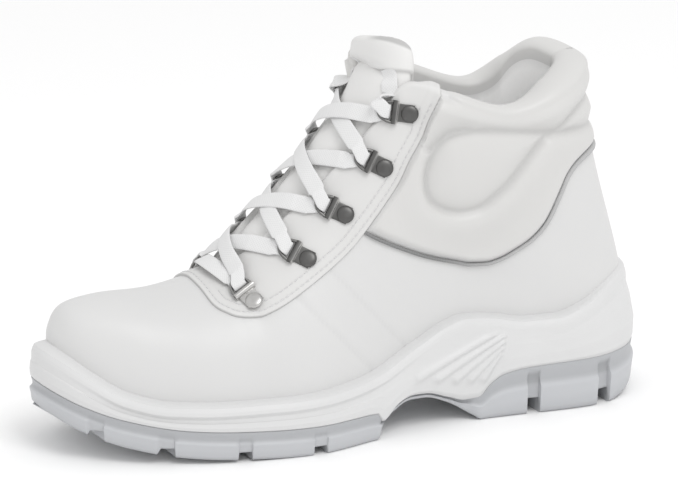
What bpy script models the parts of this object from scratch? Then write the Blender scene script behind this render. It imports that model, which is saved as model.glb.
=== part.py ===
"""A left safety boot as separate solids.

Tables and functions work in millimetres; meshes are written in metres.
s runs from the heel back to the toe tip, y towards the wearer's left (the outer side), z up.
"""

import math
from collections import namedtuple

import bmesh
import bpy
import numpy as np
from mathutils import Matrix

MM = 0.001

# Driving sizes
SOLE_LENGTH = 300.0
TOE_ROUND_FROM = 215.0
TOE_ROUND_POWER = 2.3
TOE_POLE_Y = -7.0
HEEL_ROUND = 43.0
HEEL_ROUND_POWER = 2.2
UPPER_INSET = 8.0
CUP_GAP = 0.5
JOIN_INSET = 5.0
FIT_GAP = 0.3
LIP_OVER = 1.0
UPPER_ROWS = 12
WALL = 2.3
PAD_WALL = 7.5
PAD_PUFF = 2.2
BEAD_DROP = 6.0
HEEL_DRAFT = 3.2
INSOLE_THICK = 3.0
INSOLE_GAP = 1.8
EYESTAY_GAP = 0.5
EYESTAY_THICK = 1.6
TONGUE_GAP = 0.5
TONGUE_THICK = 5.5
TONGUE_EDGE_THICK = 2.5
TONGUE_WING = 12.0
TONGUE_RISE = 14.0
TONGUE_CORNER_RISE = 1.0
TONGUE_BOW = 0.30
TONGUE_LEAN = np.array([-0.12, 0.0, 1.0])
TONGUE_TWIST = 3.5
PIPING_RADIUS = 1.2
LACE_WIDTH = 8.0
LACE_THICK = 1.5
LACE_FULLNESS = 2.6
LACE_STAGGER = 0.35
LACE_TAB_CLEAR = 1.7
LACE_TAB_AHEAD = 3.0
RING_WIRE = 1.0
RING_WIDTH = 11.0
RING_DEPTH = 7.5
RING_TILT = 6.5
CLIP_WIDTH = 6.4
CLIP_THICK = 1.1
BAR_REACH = 6.4
RIVET_RADIUS = 4.0
RIVET_HEIGHT = 2.3
STEP_DEEP = 1.4
RIB_WIDE = 3.2
RIB_PROUD = 1.6

# Plan of the sole: half breadths before the ends are rounded
Breadth = namedtuple("Breadth", "name s lateral medial")
OUTLINE = (
    Breadth("heel back", 0.0, 39.0, 38.0),
    Breadth("heel", 45.0, 41.5, 38.5),
    Breadth("breast", 96.0, 38.5, 34.0),
    Breadth("waist", 125.0, 40.0, 32.0),
    Breadth("shank", 152.0, 46.5, 36.0),
    Breadth("outer joint", 186.0, 54.5, 45.0),
    Breadth("inner joint", 222.0, 50.5, 51.0),
    Breadth("toe root", 256.0, 43.5, 51.5),
    Breadth("toe tip", 300.0, 37.0, 50.0),
)

# Heights along the sole
Height = namedtuple("Height", "s z")
TREAD = (
    Height(0, 8.6), Height(8, 4.8), Height(18, 1.5), Height(28, 0.0), Height(95, 0.0), Height(99, 2.2),
    Height(113, 10.6), Height(124, 14.2), Height(132, 14.4), Height(140, 11.4), Height(149, 5.0),
    Height(152, 0.0), Height(190, 0.0), Height(220, 1.0), Height(245, 2.8), Height(270, 7.6),
    Height(286, 13.4), Height(300, 21.5),
)
SPLIT = (
    Height(0, 25.0), Height(37, 24.0), Height(72, 22.8), Height(84, 20.8), Height(91, 16.7),
    Height(97, 11.2), Height(104, 11.0), Height(113, 13.6), Height(124, 17.0), Height(132, 17.4),
    Height(140, 15.0), Height(149, 8.4), Height(152, 12.4), Height(160, 13.0), Height(200, 13.4),
    Height(220, 14.2), Height(245, 15.8), Height(270, 20.4), Height(286, 25.7), Height(300, 33.0),
)
LIP = (
    Height(0, 61.5), Height(12, 60.5), Height(27, 56.5), Height(41, 50.5), Height(57, 46.0),
    Height(72, 46.0), Height(88, 49.0), Height(103, 50.5), Height(113, 48.0), Height(128, 40.5),
    Height(148, 31.5), Height(160, 28.8), Height(178, 27.4), Height(202, 26.6), Height(230, 26.6),
    Height(251, 27.2), Height(270, 31.5), Height(284, 39.5), Height(293, 45.5), Height(300, 49.5),
)
FLOOR = (
    Height(0, 33.0), Height(60, 32.0), Height(100, 29.5), Height(130, 26.0), Height(160, 22.5),
    Height(190, 20.5), Height(215, 20.3), Height(240, 22.0), Height(262, 25.5), Height(283, 32.0),
    Height(300, 40.0),
)

# Staves of the upper, from the toe tip round to the heel back.
# foot: station on the sole; facing: plan angle; top_s, top_y, gap, top_z: the upper end;
# medial_s, medial_z: how the inner side's end differs;
# rise, lean, spread, crown: the handles of the curve between foot and upper end
Stave = namedtuple(
    "Stave", "name foot facing top_s top_y gap top_z medial_s medial_z rise lean spread crown"
)
STAVES = (
    Stave("toe tip", 300.0, 90, 292.0, -7.0, 0.0, 50.5, 0.0, 0.0, 0.45, 0.00, 0.42, 0),
    Stave("toe wall", 296.5, 90, 290.6, -7.0, 0.0, 57.5, 0.0, 0.0, 0.45, 0.00, 0.42, 0),
    Stave("toe turn", 287.0, 90, 283.8, -6.6, 0.0, 66.2, 0.0, 0.0, 0.45, 0.00, 0.42, 2),
    Stave("toe roof", 268.0, 90, 266.5, -6.0, 0.0, 69.3, 0.0, 0.0, 0.45, 0.00, 0.42, 2),
    Stave("vamp", 240.0, 90, 240.0, -5.0, 0.0, 70.0, 0.0, 0.0, 0.45, 0.00, 0.40, 4),
    Stave("throat base", 214.0, 90, 213.0, -3.0, 0.0, 76.8, 0.0, 0.0, 0.45, 0.00, 0.38, 8),
    Stave("eyelet low", 198.0, 90, 202.0, -2.0, 12.0, 85.0, 0.0, -1.0, 0.45, 0.00, 0.34, 35),
    Stave("eyelet mid", 162.0, 90, 171.0, -1.0, 18.0, 112.0, 0.0, -1.0, 0.45, 0.00, 0.33, 55),
    Stave("eyelet high", 130.0, 90, 143.0, 0.0, 22.5, 142.0, 0.0, -1.0, 0.40, 0.00, 0.33, 68),
    Stave("facing top", 112.0, 90, 130.0, 0.0, 26.0, 159.0, -2.0, 0.5, 0.36, 0.02, 0.33, 76),
    Stave("collar front", 98.0, 92, 112.0, 0.5, 34.5, 154.0, -6.0, 1.5, 0.36, 0.03, 0.33, 84),
    Stave("collar dip", 78.0, 96, 84.0, 0.5, 38.0, 145.0, -12.0, -1.0, 0.36, 0.04, 0.33, 88),
    Stave("collar rise", 50.0, 112, 57.0, 0.5, 35.0, 152.0, -6.0, 0.8, 0.36, 0.02, 0.33, 90),
    Stave("collar turn", 20.0, 145, 37.0, 0.3, 21.0, 159.5, 0.0, 3.4, 0.30, -0.04, 0.34, 90),
    Stave("heel back", 0.0, 180, 28.0, 0.0, 0.0, 160.4, 0.0, 0.0, 0.25, -0.06, 0.35, 88),
)
THROAT = 5
PIPE_LINE = (
    Height(22, 121.5), Height(35, 120.0), Height(45, 117.0), Height(51, 112.0), Height(55, 105.0),
    Height(63, 90.5), Height(70, 83.8), Height(78, 79.2), Height(85, 75.8), Height(92, 74.2),
    Height(100, 74.6), Height(108, 76.6), Height(122, 80.6), Height(135, 85.9), Height(148, 92.2),
    Height(155, 96.5),
)
FacingWidth = namedtuple("FacingWidth", "stave width")
FACING = (
    FacingWidth(4.51, 0.0), FacingWidth(4.53, 13.0), FacingWidth(4.55, 22.5), FacingWidth(4.59, 27.3),
    FacingWidth(4.65, 30.2), FacingWidth(4.73, 32.7), FacingWidth(4.81, 34.8), FacingWidth(4.91, 36.6),
    FacingWidth(5.02, 37.5), FacingWidth(5.17, 36.8), FacingWidth(5.38, 35.2), FacingWidth(5.66, 33.5),
    FacingWidth(5.98, 32.8), FacingWidth(6.3, 33.3), FacingWidth(6.9, 34.4), FacingWidth(7.3, 35.0),
    FacingWidth(7.74, 34.0),
    FacingWidth(8.04, 32.8), FacingWidth(8.41, 32.0), FacingWidth(8.84, 30.0), FacingWidth(9.21, 24.0),
    FacingWidth(9.49, 14.0), FacingWidth(9.7, 5.6), FacingWidth(9.82, 0.0),
)

# Where each ring's rivet sits and where the middle of its ring lies:
# stave positions and distances below the throat edge
Ring = namedtuple("Ring", "level stave below ring_stave ring_below")
RINGS = (
    Ring(1, 5.66, 26.2, 5.29, 19.4),
    Ring(2, 6.69, 23.1, 6.53, 13.8),
    Ring(3, 7.30, 20.2, 7.12, 10.7),
    Ring(4, 8.00, 19.7, 7.74, 8.7),
    Ring(5, 9.01, 12.0, 8.44, 3.4),
)

# Runs of the lace over the tongue: ring levels at both ends, and the height over the tongue
Run = namedtuple("Run", "low high clear")
RUNS = (
    Run(1, 1, 7.4),
    Run(1, 2, 6.4),
    Run(2, 3, 5.0),
    Run(3, 4, 3.8),
    Run(4, 5, 3.2),
)

# Gaps between the cleats: station, breadth along the sole, depth, and where the cut ends inside
Gap = namedtuple("Gap", "s wide deep inner")
GAPS = (
    Gap(281.0, 5.0, 5.0, 10.0),
    Gap(253.0, 5.5, 5.0, 14.0),
    Gap(219.5, 5.5, 5.0, 16.0),
    Gap(184.0, 6.0, 5.0, 16.0),
    Gap(69.0, 5.5, 7.5, 14.0),
    Gap(31.0, 6.0, 7.5, 12.0),
)

# Slanting ribs on the waist of the midsole: lower and upper ends
Rib = namedtuple("Rib", "low_s low_z high_s high_z")
RIBS = (
    Rib(129.0, 24.0, 91.0, 43.0),
    Rib(115.0, 23.0, 90.0, 38.0),
    Rib(105.0, 21.5, 90.0, 34.5),
    Rib(97.0, 20.5, 85.0, 32.0),
)
SIDES = {"lateral": 1.0, "medial": -1.0}


def column(table, name):
    """One named column of a table."""
    return np.array([getattr(row, name) for row in table], float)


def spline(knots, values, at, keep_shape=True):
    """Cubic through the knots, held level past both ends; keep_shape stops overshoot."""
    x = np.asarray(knots, float)
    y = np.asarray(values, float)
    step = np.diff(x)
    rise = np.diff(y) / step
    before, after = rise[:-1], rise[1:]
    slope = np.empty_like(y)
    if keep_shape:
        same = before * after > 0
        wide = 2.0 * step[1:] + step[:-1]
        near = step[1:] + 2.0 * step[:-1]
        below = np.where(same, wide * after + near * before, 1.0)
        slope[1:-1] = np.where(same, (wide + near) * before * after / below, 0.0)
    else:
        slope[1:-1] = (before * step[1:] + after * step[:-1]) / (step[1:] + step[:-1])
    slope[0] = 1.5 * rise[0] - 0.5 * slope[1]
    slope[-1] = 1.5 * rise[-1] - 0.5 * slope[-2]
    at = np.clip(np.asarray(at, float), x[0], x[-1])
    i = np.clip(np.searchsorted(x, at, "right") - 1, 0, len(x) - 2)
    t = (at - x[i]) / step[i]
    a = y[i] * (1.0 + 2.0 * t) * (1.0 - t) ** 2 + y[i + 1] * t * t * (3.0 - 2.0 * t)
    b = slope[i] * t * (1.0 - t) ** 2 - slope[i + 1] * t * t * (1.0 - t)
    return a + b * step[i]


def height(table, s):
    """A height table read at stations s."""
    return spline(column(table, "s"), column(table, "z"), s)


def smooth(value):
    """Soft step from 0 at 0 to 1 at 1."""
    v = np.clip(value, 0.0, 1.0)
    return v * v * (3.0 - 2.0 * v)


def half_breadth(side, s):
    """Signed edge of the sole: the table's breadth, rounded off at toe and heel."""
    sign = SIDES[side]
    wide = sign * spline(column(OUTLINE, "s"), column(OUTLINE, side), s)
    toe = np.clip((s - TOE_ROUND_FROM) / (SOLE_LENGTH - TOE_ROUND_FROM), 0.0, 1.0)
    heel = np.clip((HEEL_ROUND - s) / HEEL_ROUND, 0.0, 1.0)
    toe_round = np.sqrt(1.0 - toe**TOE_ROUND_POWER)
    heel_round = np.sqrt(1.0 - heel**HEEL_ROUND_POWER)
    return (TOE_POLE_Y + (wide - TOE_POLE_Y) * toe_round) * heel_round


def dense_outline(side):
    """Closely spaced points of one side's outline with their outward plan normals."""
    s = 0.5 * SOLE_LENGTH * (1.0 - np.cos(np.linspace(0.0, math.pi, 801)))
    y = half_breadth(side, s)
    ds = np.gradient(s)
    dy = np.gradient(y)
    size = np.hypot(ds, dy)
    nx = -SIDES[side] * dy / size
    ny = SIDES[side] * ds / size
    nx[0], ny[0] = -1.0, 0.0
    nx[-1], ny[-1] = 1.0, 0.0
    return s, y, nx, ny


DENSE = {side: dense_outline(side) for side in SIDES}


def edge(side, s, offset):
    """Plan points at stations s, moved outward by offset along the outline's normal."""
    grid, y, nx, ny = DENSE[side]
    x_at = s + offset * np.interp(s, grid, nx)
    y_at = np.interp(s, grid, y) + offset * np.interp(s, grid, ny)
    return x_at, y_at


def sole_stations():
    """Stations shared by the sole pieces: close at the ends and at the arch."""
    keys = np.array([84.0, 91.0, 95.5, 99.0, 105.0, 141.0, 146.0, 149.5, 152.0])
    base = 0.5 * SOLE_LENGTH * (1.0 - np.cos(np.linspace(0.0, math.pi, 29)))
    far = np.abs(base[:, None] - keys[None, :]).min(axis=1) > 3.5
    return np.sort(np.concatenate([base[far], keys]))[::-1]


def sole_ring(stations, offset, z):
    """A closed loop: toe tip, outer side to the heel back, inner side to the toe again."""
    offset = np.broadcast_to(np.asarray(offset, float), stations.shape)
    z = np.broadcast_to(np.asarray(z, float), stations.shape)
    x, y = edge("lateral", stations, offset)
    lateral = np.stack([x, y, z], axis=1)
    x, y = edge("medial", stations, offset)
    medial = np.stack([x, y, z], axis=1)
    return np.concatenate([lateral, medial[-2:0:-1]])


def loft(rings):
    """Points and faces of a solid through closed loops, closed across at both ends."""
    count = len(rings[0])
    half = count // 2
    faces = []
    for level in range(len(rings) - 1):
        low, high = level * count, (level + 1) * count
        for i in range(count):
            j = (i + 1) % count
            faces.append((low + i, low + j, high + j, high + i))
    for base, flip in ((0, True), ((len(rings) - 1) * count, False)):
        for i in range(half):
            quad = [base + i, base + i + 1, base + (count - i - 1) % count, base + (count - i) % count]
            loop = list(dict.fromkeys(quad))
            faces.append(tuple(loop[::-1] if flip else loop))
    return np.concatenate(rings), faces


def thicken(top, bottom, faces):
    """A closed skin from two matching grids of points and the faces of the upper one."""
    key = {}
    index = np.empty(len(top), int)
    for i, place in enumerate(map(tuple, np.round(top, 4))):
        index[i] = key.setdefault(place, i)
    kept = []
    for face in faces:
        loop = list(dict.fromkeys(int(index[i]) for i in face))
        if len(loop) > 2:
            kept.append(tuple(loop))
    uses = {}
    for loop in kept:
        for a, b in zip(loop, loop[1:] + loop[:1]):
            uses[(a, b)] = uses.get((a, b), 0) + 1
    shift = len(top)
    closed = list(kept)
    closed += [tuple(shift + i for i in reversed(loop)) for loop in kept]
    for a, b in uses:
        if (b, a) not in uses:
            closed.append((b, a, shift + a, shift + b))
    return np.concatenate([top, bottom]), closed


def grid_faces(rows, columns, wrap=False):
    """Quads of a grid of points stored row by row."""
    last = columns if wrap else columns - 1
    faces = []
    for r in range(rows - 1):
        for c in range(last):
            d = (c + 1) % columns
            faces.append((r * columns + c, r * columns + d, (r + 1) * columns + d, (r + 1) * columns + c))
    return faces


def stave_column(name, k):
    """A column of the stave table read at stave positions k."""
    return spline(np.arange(len(STAVES)), column(STAVES, name), k, keep_shape=False)


def stave_top(side, k):
    """The upper ends of the staves: ridge, throat edge and collar rim."""
    open_rows = np.arange(THROAT, len(STAVES))
    gap = spline(open_rows, column(STAVES, "gap")[THROAT:], k, keep_shape=False)
    gap = np.where(k > THROAT, np.maximum(gap, 0.0), 0.0)
    y = stave_column("top_y", k) + SIDES[side] * gap
    s = stave_column("top_s", k)
    z = stave_column("top_z", k)
    if side == "medial":
        s = s + np.where(k > THROAT, stave_column("medial_s", k), 0.0)
        z = z + np.where(k > THROAT, stave_column("medial_z", k), 0.0)
    return np.stack([s, y, z], axis=-1)


def stave_feet(side, k):
    """The foot of each stave on the cup floor, and where it leaves the lip of the cup."""
    foot = stave_column("foot", k)
    x, y = edge(side, foot, -UPPER_INSET)
    low = np.stack([x, y, height(FLOOR, foot)], axis=-1)
    high = np.stack([x, y, height(LIP, foot) + LIP_OVER], axis=-1)
    return low, high


def stave_curve(side, k, t):
    """Points (t, k, 3) of the staves above the lip: a cubic from the lip to the top edge."""
    _, low = stave_feet(side, k)
    top = stave_top(side, k)
    facing = np.radians(stave_column("facing", k))
    out = np.stack([np.cos(facing), SIDES[side] * np.sin(facing), np.zeros_like(k)], axis=-1)
    up = np.array([0.0, 0.0, 1.0])
    chord = np.linalg.norm(top - low, axis=-1)[:, None]
    crown = np.radians(stave_column("crown", k))[:, None]
    first = low + chord * (stave_column("rise", k)[:, None] * up + stave_column("lean", k)[:, None] * out)
    second = top + chord * stave_column("spread", k)[:, None] * (np.cos(crown) * out - np.sin(crown) * up)
    t = np.asarray(t, float)[:, None, None]
    return (
        low * (1 - t) ** 3 + 3 * first * t * (1 - t) ** 2
        + 3 * second * t * t * (1 - t) + top * t**3
    )


def ring_of(lateral, medial):
    """Joins the two sides' rows into closed loops from the toe tip."""
    return np.concatenate([lateral, medial[:, -2:0:-1]], axis=1)


def ring_normals(ring, sharp=None):
    """Outward normals of a (rows, loop, 3) grid; welded top points share one normal."""
    along = np.roll(ring, -1, axis=1) - np.roll(ring, 1, axis=1)
    up = np.gradient(ring, axis=0)
    normal = np.cross(along, up)
    size = np.linalg.norm(normal, axis=2, keepdims=True)
    normal = normal / np.maximum(size, 1e-9)
    normal[:, 0] = (1.0, 0.0, 0.0)
    if sharp is not None:
        count = ring.shape[1]
        for i in range(1, sharp + 1):
            mean = normal[-1, i] + normal[-1, count - i]
            mean /= np.linalg.norm(mean)
            normal[-1, i] = mean
            normal[-1, count - i] = mean
    return normal


def plan_normals(k):
    """Level outward normals of the sole's outline at the feet of staves k, as a loop."""
    foot = stave_column("foot", k)
    sides = []
    for side in SIDES:
        grid, _, nx, ny = DENSE[side]
        sides.append(np.stack([np.interp(foot, grid, nx), np.interp(foot, grid, ny), 0.0 * foot], axis=-1)[None])
    return ring_of(*sides)[0]


def facing_width(k):
    """Width of the eyestay below the top edge at staves k."""
    return spline(column(FACING, "stave"), column(FACING, "width"), k)


def below_top(curve):
    """Distance of each point of the staves below the top edge, measured along the stave."""
    step = np.linalg.norm(np.diff(curve, axis=0), axis=2)
    return np.concatenate([np.cumsum(step[::-1], axis=0)[::-1], np.zeros((1, curve.shape[1]))])


def pad_weight(k, curve):
    """1 in the padded collar, 0 elsewhere: above the piping and behind the eyestay."""
    above = smooth((curve[..., 2] - height(PIPE_LINE, curve[..., 0]) - 8.0) / 5.0)
    behind = smooth((below_top(curve) - facing_width(k) - 7.5) / 5.0)
    behind = np.where(k > 10.0, 1.0, behind)
    return above * behind * smooth((k - 7.4) / 0.4)


def make(name, points, faces, colour, roughness=0.6, metallic=0.0):
    """One node: welds the mesh, faces it outward and gives it its own material."""
    mesh = bpy.data.meshes.new(name)
    shell = bmesh.new()
    verts = [shell.verts.new(tuple(p)) for p in np.asarray(points) * MM]
    for face in faces:
        loop = list(dict.fromkeys(face))
        if len(loop) > 2 and shell.faces.get([verts[i] for i in loop]) is None:
            shell.faces.new([verts[i] for i in loop])
    bmesh.ops.remove_doubles(shell, verts=shell.verts[:], dist=0.00001)
    bmesh.ops.dissolve_degenerate(shell, edges=shell.edges[:], dist=0.000005)
    loose = [v for v in shell.verts if not v.link_faces]
    bmesh.ops.delete(shell, geom=loose, context="VERTS")
    bmesh.ops.triangulate(shell, faces=shell.faces[:])
    bmesh.ops.recalc_face_normals(shell, faces=shell.faces[:])
    shell.to_mesh(mesh)
    shell.free()
    item = bpy.data.objects.new(name, mesh)
    bpy.context.scene.collection.objects.link(item)
    finish = bpy.data.materials.new(name)
    finish.use_nodes = True
    shader = finish.node_tree.nodes["Principled BSDF"]
    shader.inputs["Base Color"].default_value = (*colour, 1.0)
    shader.inputs["Roughness"].default_value = roughness
    shader.inputs["Metallic"].default_value = metallic
    mesh.materials.append(finish)
    return item


def build_outsole():
    """The grey sole: a lofted block under the split line; its gaps are cut later."""
    s = sole_stations()
    tread = height(TREAD, s)
    split = height(SPLIT, s)
    waist = smooth((s - 97.0) / 6.0) * smooth((151.0 - s) / 4.0)
    inset = 2.6 * waist
    deep = split - tread
    rings = [
        sole_ring(s, -2.4 - inset, tread),
        sole_ring(s, -1.2 - inset, tread + np.minimum(1.2, 0.3 * deep)),
        sole_ring(s, -0.9 - inset, tread + 0.6 * deep),
        sole_ring(s, 0.0 - inset, tread + 0.66 * deep),
        sole_ring(s, 0.0 - inset, split - 0.4),
        sole_ring(s, -0.6 - inset, split),
        sole_ring(s, -JOIN_INSET, split),
    ]
    points, faces = loft(rings)
    return make("outsole", points, faces, (0.50, 0.50, 0.53))


def build_midsole():
    """The white cup: wall from the split line up to the bead and lip, and a floor inside."""
    s = sole_stations()
    base = height(SPLIT, s) + FIT_GAP
    lip = height(LIP, s)
    floor = height(FLOOR, s) - FIT_GAP
    bead = np.maximum(lip - BEAD_DROP, base + 3.0)
    inner = -UPPER_INSET + CUP_GAP
    draft = HEEL_DRAFT * smooth((60.0 - s) / 50.0)
    rings = [
        sole_ring(s, -JOIN_INSET, base),
        sole_ring(s, -1.0, base),
        sole_ring(s, -0.3, base + 0.3 * (bead - base)),
        sole_ring(s, -1.3 - draft, bead - 0.8),
        sole_ring(s, -2.1 - draft, bead),
        sole_ring(s, -1.5 - draft, bead + 0.8),
        sole_ring(s, -2.0 - draft, bead + 0.55 * (lip - bead)),
        sole_ring(s, -4.2 - 0.6 * draft, lip - 0.8),
        sole_ring(s, inner + 0.7, lip),
        sole_ring(s, inner, lip - 0.6),
        sole_ring(s, inner, floor),
    ]
    points, faces = loft(rings)
    return make("midsole", points, faces, (0.76, 0.76, 0.77))


def build_insole():
    """The footbed: a sheet lying on the cup floor, inside the upper's wall."""
    s = sole_stations()
    s = s[(np.arange(len(s)) % 2 == 0) | (s < 20.0) | (s > 275.0)]
    floor = height(FLOOR, s)
    rim = -UPPER_INSET - WALL - INSOLE_GAP
    rings = [
        sole_ring(s, rim - 0.6, floor),
        sole_ring(s, rim, floor + 1.0),
        sole_ring(s, rim, floor + INSOLE_THICK - 0.8),
        sole_ring(s, rim - 1.0, floor + INSOLE_THICK),
    ]
    points, faces = loft(rings)
    return make("insole", points, faces, (0.30, 0.30, 0.31))


def upper_staves():
    """Stave positions of the upper's grid."""
    return np.concatenate([
        np.linspace(0.0, 2.0, 7)[:-1], np.linspace(2.0, 5.0, 7)[:-1],
        np.linspace(5.0, 9.0, 10)[:-1], np.linspace(9.0, 14.0, 13),
    ])


def upper_grids(k, t):
    """Outer and inner point grids (rows, loop, 3) of the upper, with the rolled top edge."""
    outer_sides, weights = [], []
    for side in SIDES:
        low, _ = stave_feet(side, k)
        curve = stave_curve(side, k, t)
        outer_sides.append(np.concatenate([low[None], curve]))
        weight = pad_weight(k, curve)
        weights.append(np.concatenate([np.zeros((1, len(k))), weight]))
    base = ring_of(*outer_sides)
    pad = np.concatenate([weights[0], weights[1][:, -2:0:-1]], axis=1)
    throat = int(np.argmin(np.abs(k - THROAT)))
    normal = ring_normals(base, throat)
    normal[:2] = plan_normals(k)
    outer = base + normal * (PAD_PUFF * pad * smooth(below_top(base) / 8.0))[..., None]
    inner = base - normal * (WALL + (PAD_WALL - WALL) * pad)[..., None]
    up = base[-1] - base[-2]
    up /= np.maximum(np.linalg.norm(up, axis=1, keepdims=True), 1e-9)
    up -= normal[-1] * (up * normal[-1]).sum(axis=1, keepdims=True)
    count = base.shape[1]
    is_open = np.ones(count)
    is_open[: throat + 1] = 0.0
    is_open[count - throat:] = 0.0
    middle = 0.5 * (outer[-1] + inner[-1])
    radius = 0.5 * np.linalg.norm(outer[-1] - inner[-1], axis=1)[:, None]
    outer_rows, inner_rows = [outer], [inner]
    for angle in (35.0, 70.0):
        across, rise = math.cos(math.radians(angle)), math.sin(math.radians(angle))
        lift = radius * rise * up * is_open[:, None]
        spread = np.where(is_open > 0, across, 1.0)[:, None] * radius * normal[-1]
        outer_rows.append((middle + spread + lift)[None])
        inner_rows.append((middle - spread + lift)[None])
    return np.concatenate(outer_rows), np.concatenate(inner_rows)


def build_upper():
    """The leather wall: one hollow solid, open at collar, throat and underneath."""
    k = upper_staves()
    outer, inner = upper_grids(k, np.linspace(0.0, 1.0, UPPER_ROWS))
    rows, count = outer.shape[:2]
    points, faces = thicken(
        outer.reshape(-1, 3), inner.reshape(-1, 3), grid_faces(rows, count, wrap=True)
    )
    return make("upper", points, faces, (0.80, 0.80, 0.80))


def on_upper(side, k, below):
    """Points of the upper's plain outer surface at staves k, a distance below the top edge."""
    k, below = np.broadcast_arrays(np.asarray(k, float), np.asarray(below, float))
    curve = stave_curve(side, k.ravel(), np.linspace(0.0, 1.0, 161))
    depth = below_top(curve)
    points = np.empty((k.size, 3))
    for i, want in enumerate(below.ravel()):
        for axis in range(3):
            points[i, axis] = np.interp(want, depth[::-1, i], curve[::-1, i, axis])
    return points.reshape(*k.shape, 3)


def upper_normal(side, k, below):
    """Outward normals at the same places."""
    k, below = np.broadcast_arrays(np.asarray(k, float), np.asarray(below, float))
    along = on_upper(side, k + 0.03, below) - on_upper(side, k - 0.03, below)
    up = on_upper(side, k, np.maximum(below - 0.5, 0.0)) - on_upper(side, k, below + 0.5)
    normal = SIDES[side] * np.cross(along, up)
    return normal / np.linalg.norm(normal, axis=-1, keepdims=True)


def build_eyestay():
    """The U-shaped facing: a strip of the upper's own surface, lifted off it and thickened."""
    upper_k = upper_staves()
    inside = upper_k[(upper_k > 4.75) & (upper_k < 9.1)]
    k = np.concatenate([[4.51, 4.52, 4.545, 4.59, 4.66], inside, [9.21, 9.49, 9.7, 9.82]])
    rows = 6
    share = np.linspace(1.0, 0.0, rows)[:, None]
    tops, bottoms, faces = [], [], []
    normals = {}
    for side in SIDES:
        normals[side] = upper_normal(side, np.broadcast_to(k, (rows, len(k))), share * facing_width(k))
    joined = k <= THROAT
    mean = normals["lateral"][-1, joined] + normals["medial"][-1, joined]
    mean /= np.linalg.norm(mean, axis=1, keepdims=True)
    for number, side in enumerate(SIDES):
        place = on_upper(side, np.broadcast_to(k, (rows, len(k))), share * facing_width(k))
        normals[side][-1, joined] = mean
        normals[side][:, 0] = mean[0]
        tops.append((place + normals[side] * (EYESTAY_GAP + EYESTAY_THICK)).reshape(-1, 3))
        bottoms.append((place + normals[side] * EYESTAY_GAP).reshape(-1, 3))
        start = number * rows * len(k)
        for face in grid_faces(rows, len(k)):
            loop = tuple(start + i for i in face)
            faces.append(loop if side == "lateral" else loop[::-1])
    points, closed = thicken(np.concatenate(tops), np.concatenate(bottoms), faces)
    return make("eyestay", points, closed, (0.80, 0.80, 0.79))


def throat_front(k):
    """The level-to-upright direction that faces straight out of the throat at stave k."""
    k = min(k, 8.0)
    step = np.diff(stave_top("lateral", np.array([k - 0.2, k + 0.2])), axis=0)[0]
    ahead = np.array([step[2], 0.0, -step[0]])
    return ahead / np.linalg.norm(ahead)


def tongue_section(k, inset):
    """A section across the throat at stave k: two wings under the facing and a bridge between."""
    below = np.array([TONGUE_WING, 0.5 * TONGUE_WING, 0.0])
    ahead = throat_front(k)
    ends, tangents, wings = {}, {}, {}
    for side in SIDES:
        place = on_upper(side, k, below) - inset * upper_normal(side, k, below)
        up = on_upper(side, k, 0.0) - on_upper(side, k, 2.0)
        up = up / np.linalg.norm(up)
        wings[side] = place
        ends[side] = place[-1]
        tangents[side] = np.array([up[0], up[1], 0.0]) + up[2] * ahead
    reach = TONGUE_BOW * np.linalg.norm(ends["medial"] - ends["lateral"])
    b = np.linspace(0.0, 1.0, 7)[1:-1, None]
    bridge = (
        ends["lateral"] * (1 - b) ** 3
        + 3 * (ends["lateral"] + reach * tangents["lateral"]) * b * (1 - b) ** 2
        + 3 * (ends["medial"] + reach * tangents["medial"]) * b * b * (1 - b)
        + ends["medial"] * b**3
    )
    return np.concatenate([wings["lateral"], bridge, wings["medial"][::-1]])


def tongue_grid():
    """The tongue's outer face: sections up the throat, then a rounded end above it."""
    upper_k = upper_staves()
    inset = WALL + TONGUE_GAP
    rows = [tongue_section(k, inset) for k in upper_k[(upper_k > 5.3) & (upper_k < 9.05)]]
    last = rows[-1]
    middle = last.mean(axis=0)
    across = np.linspace(-1.0, 1.0, len(last))[:, None]
    lift = TONGUE_LEAN * (TONGUE_RISE + TONGUE_CORNER_RISE * np.minimum(across**2 * 3.0, 1.0))
    for rise, narrow in ((0.45, 0.97), (0.8, 0.95), (1.0, 0.95)):
        row = last + lift * rise
        row[:, 0] += TONGUE_TWIST * (1.0 + across[:, 0]) * smooth((row[:, 2] - 161.0) / 13.0)
        row[:, 1] = middle[1] + (last[:, 1] - middle[1]) * narrow
        rows.append(row)
    return np.array(rows)


def tongue_surface():
    """The tongue's outer face with the normals that point out of the boot."""
    grid = tongue_grid()
    normal = np.cross(np.gradient(grid, axis=0), np.gradient(grid, axis=1))
    return grid, normal / np.linalg.norm(normal, axis=2, keepdims=True)


def build_tongue():
    """The padded tongue: thick in the middle and thin at its edges."""
    outer, normal = tongue_surface()
    rows, count = outer.shape[:2]
    across = np.linspace(-1.0, 1.0, count)
    thick = TONGUE_EDGE_THICK + (TONGUE_THICK - TONGUE_EDGE_THICK) * (1.0 - across**2)
    thick = np.broadcast_to(thick, (rows, count)).copy()
    thick[-1] *= 0.6
    inner = outer - normal * thick[..., None]
    points, faces = thicken(outer.reshape(-1, 3), inner.reshape(-1, 3), grid_faces(rows, count))
    return make("tongue", points, faces, (0.78, 0.78, 0.77))


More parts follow.
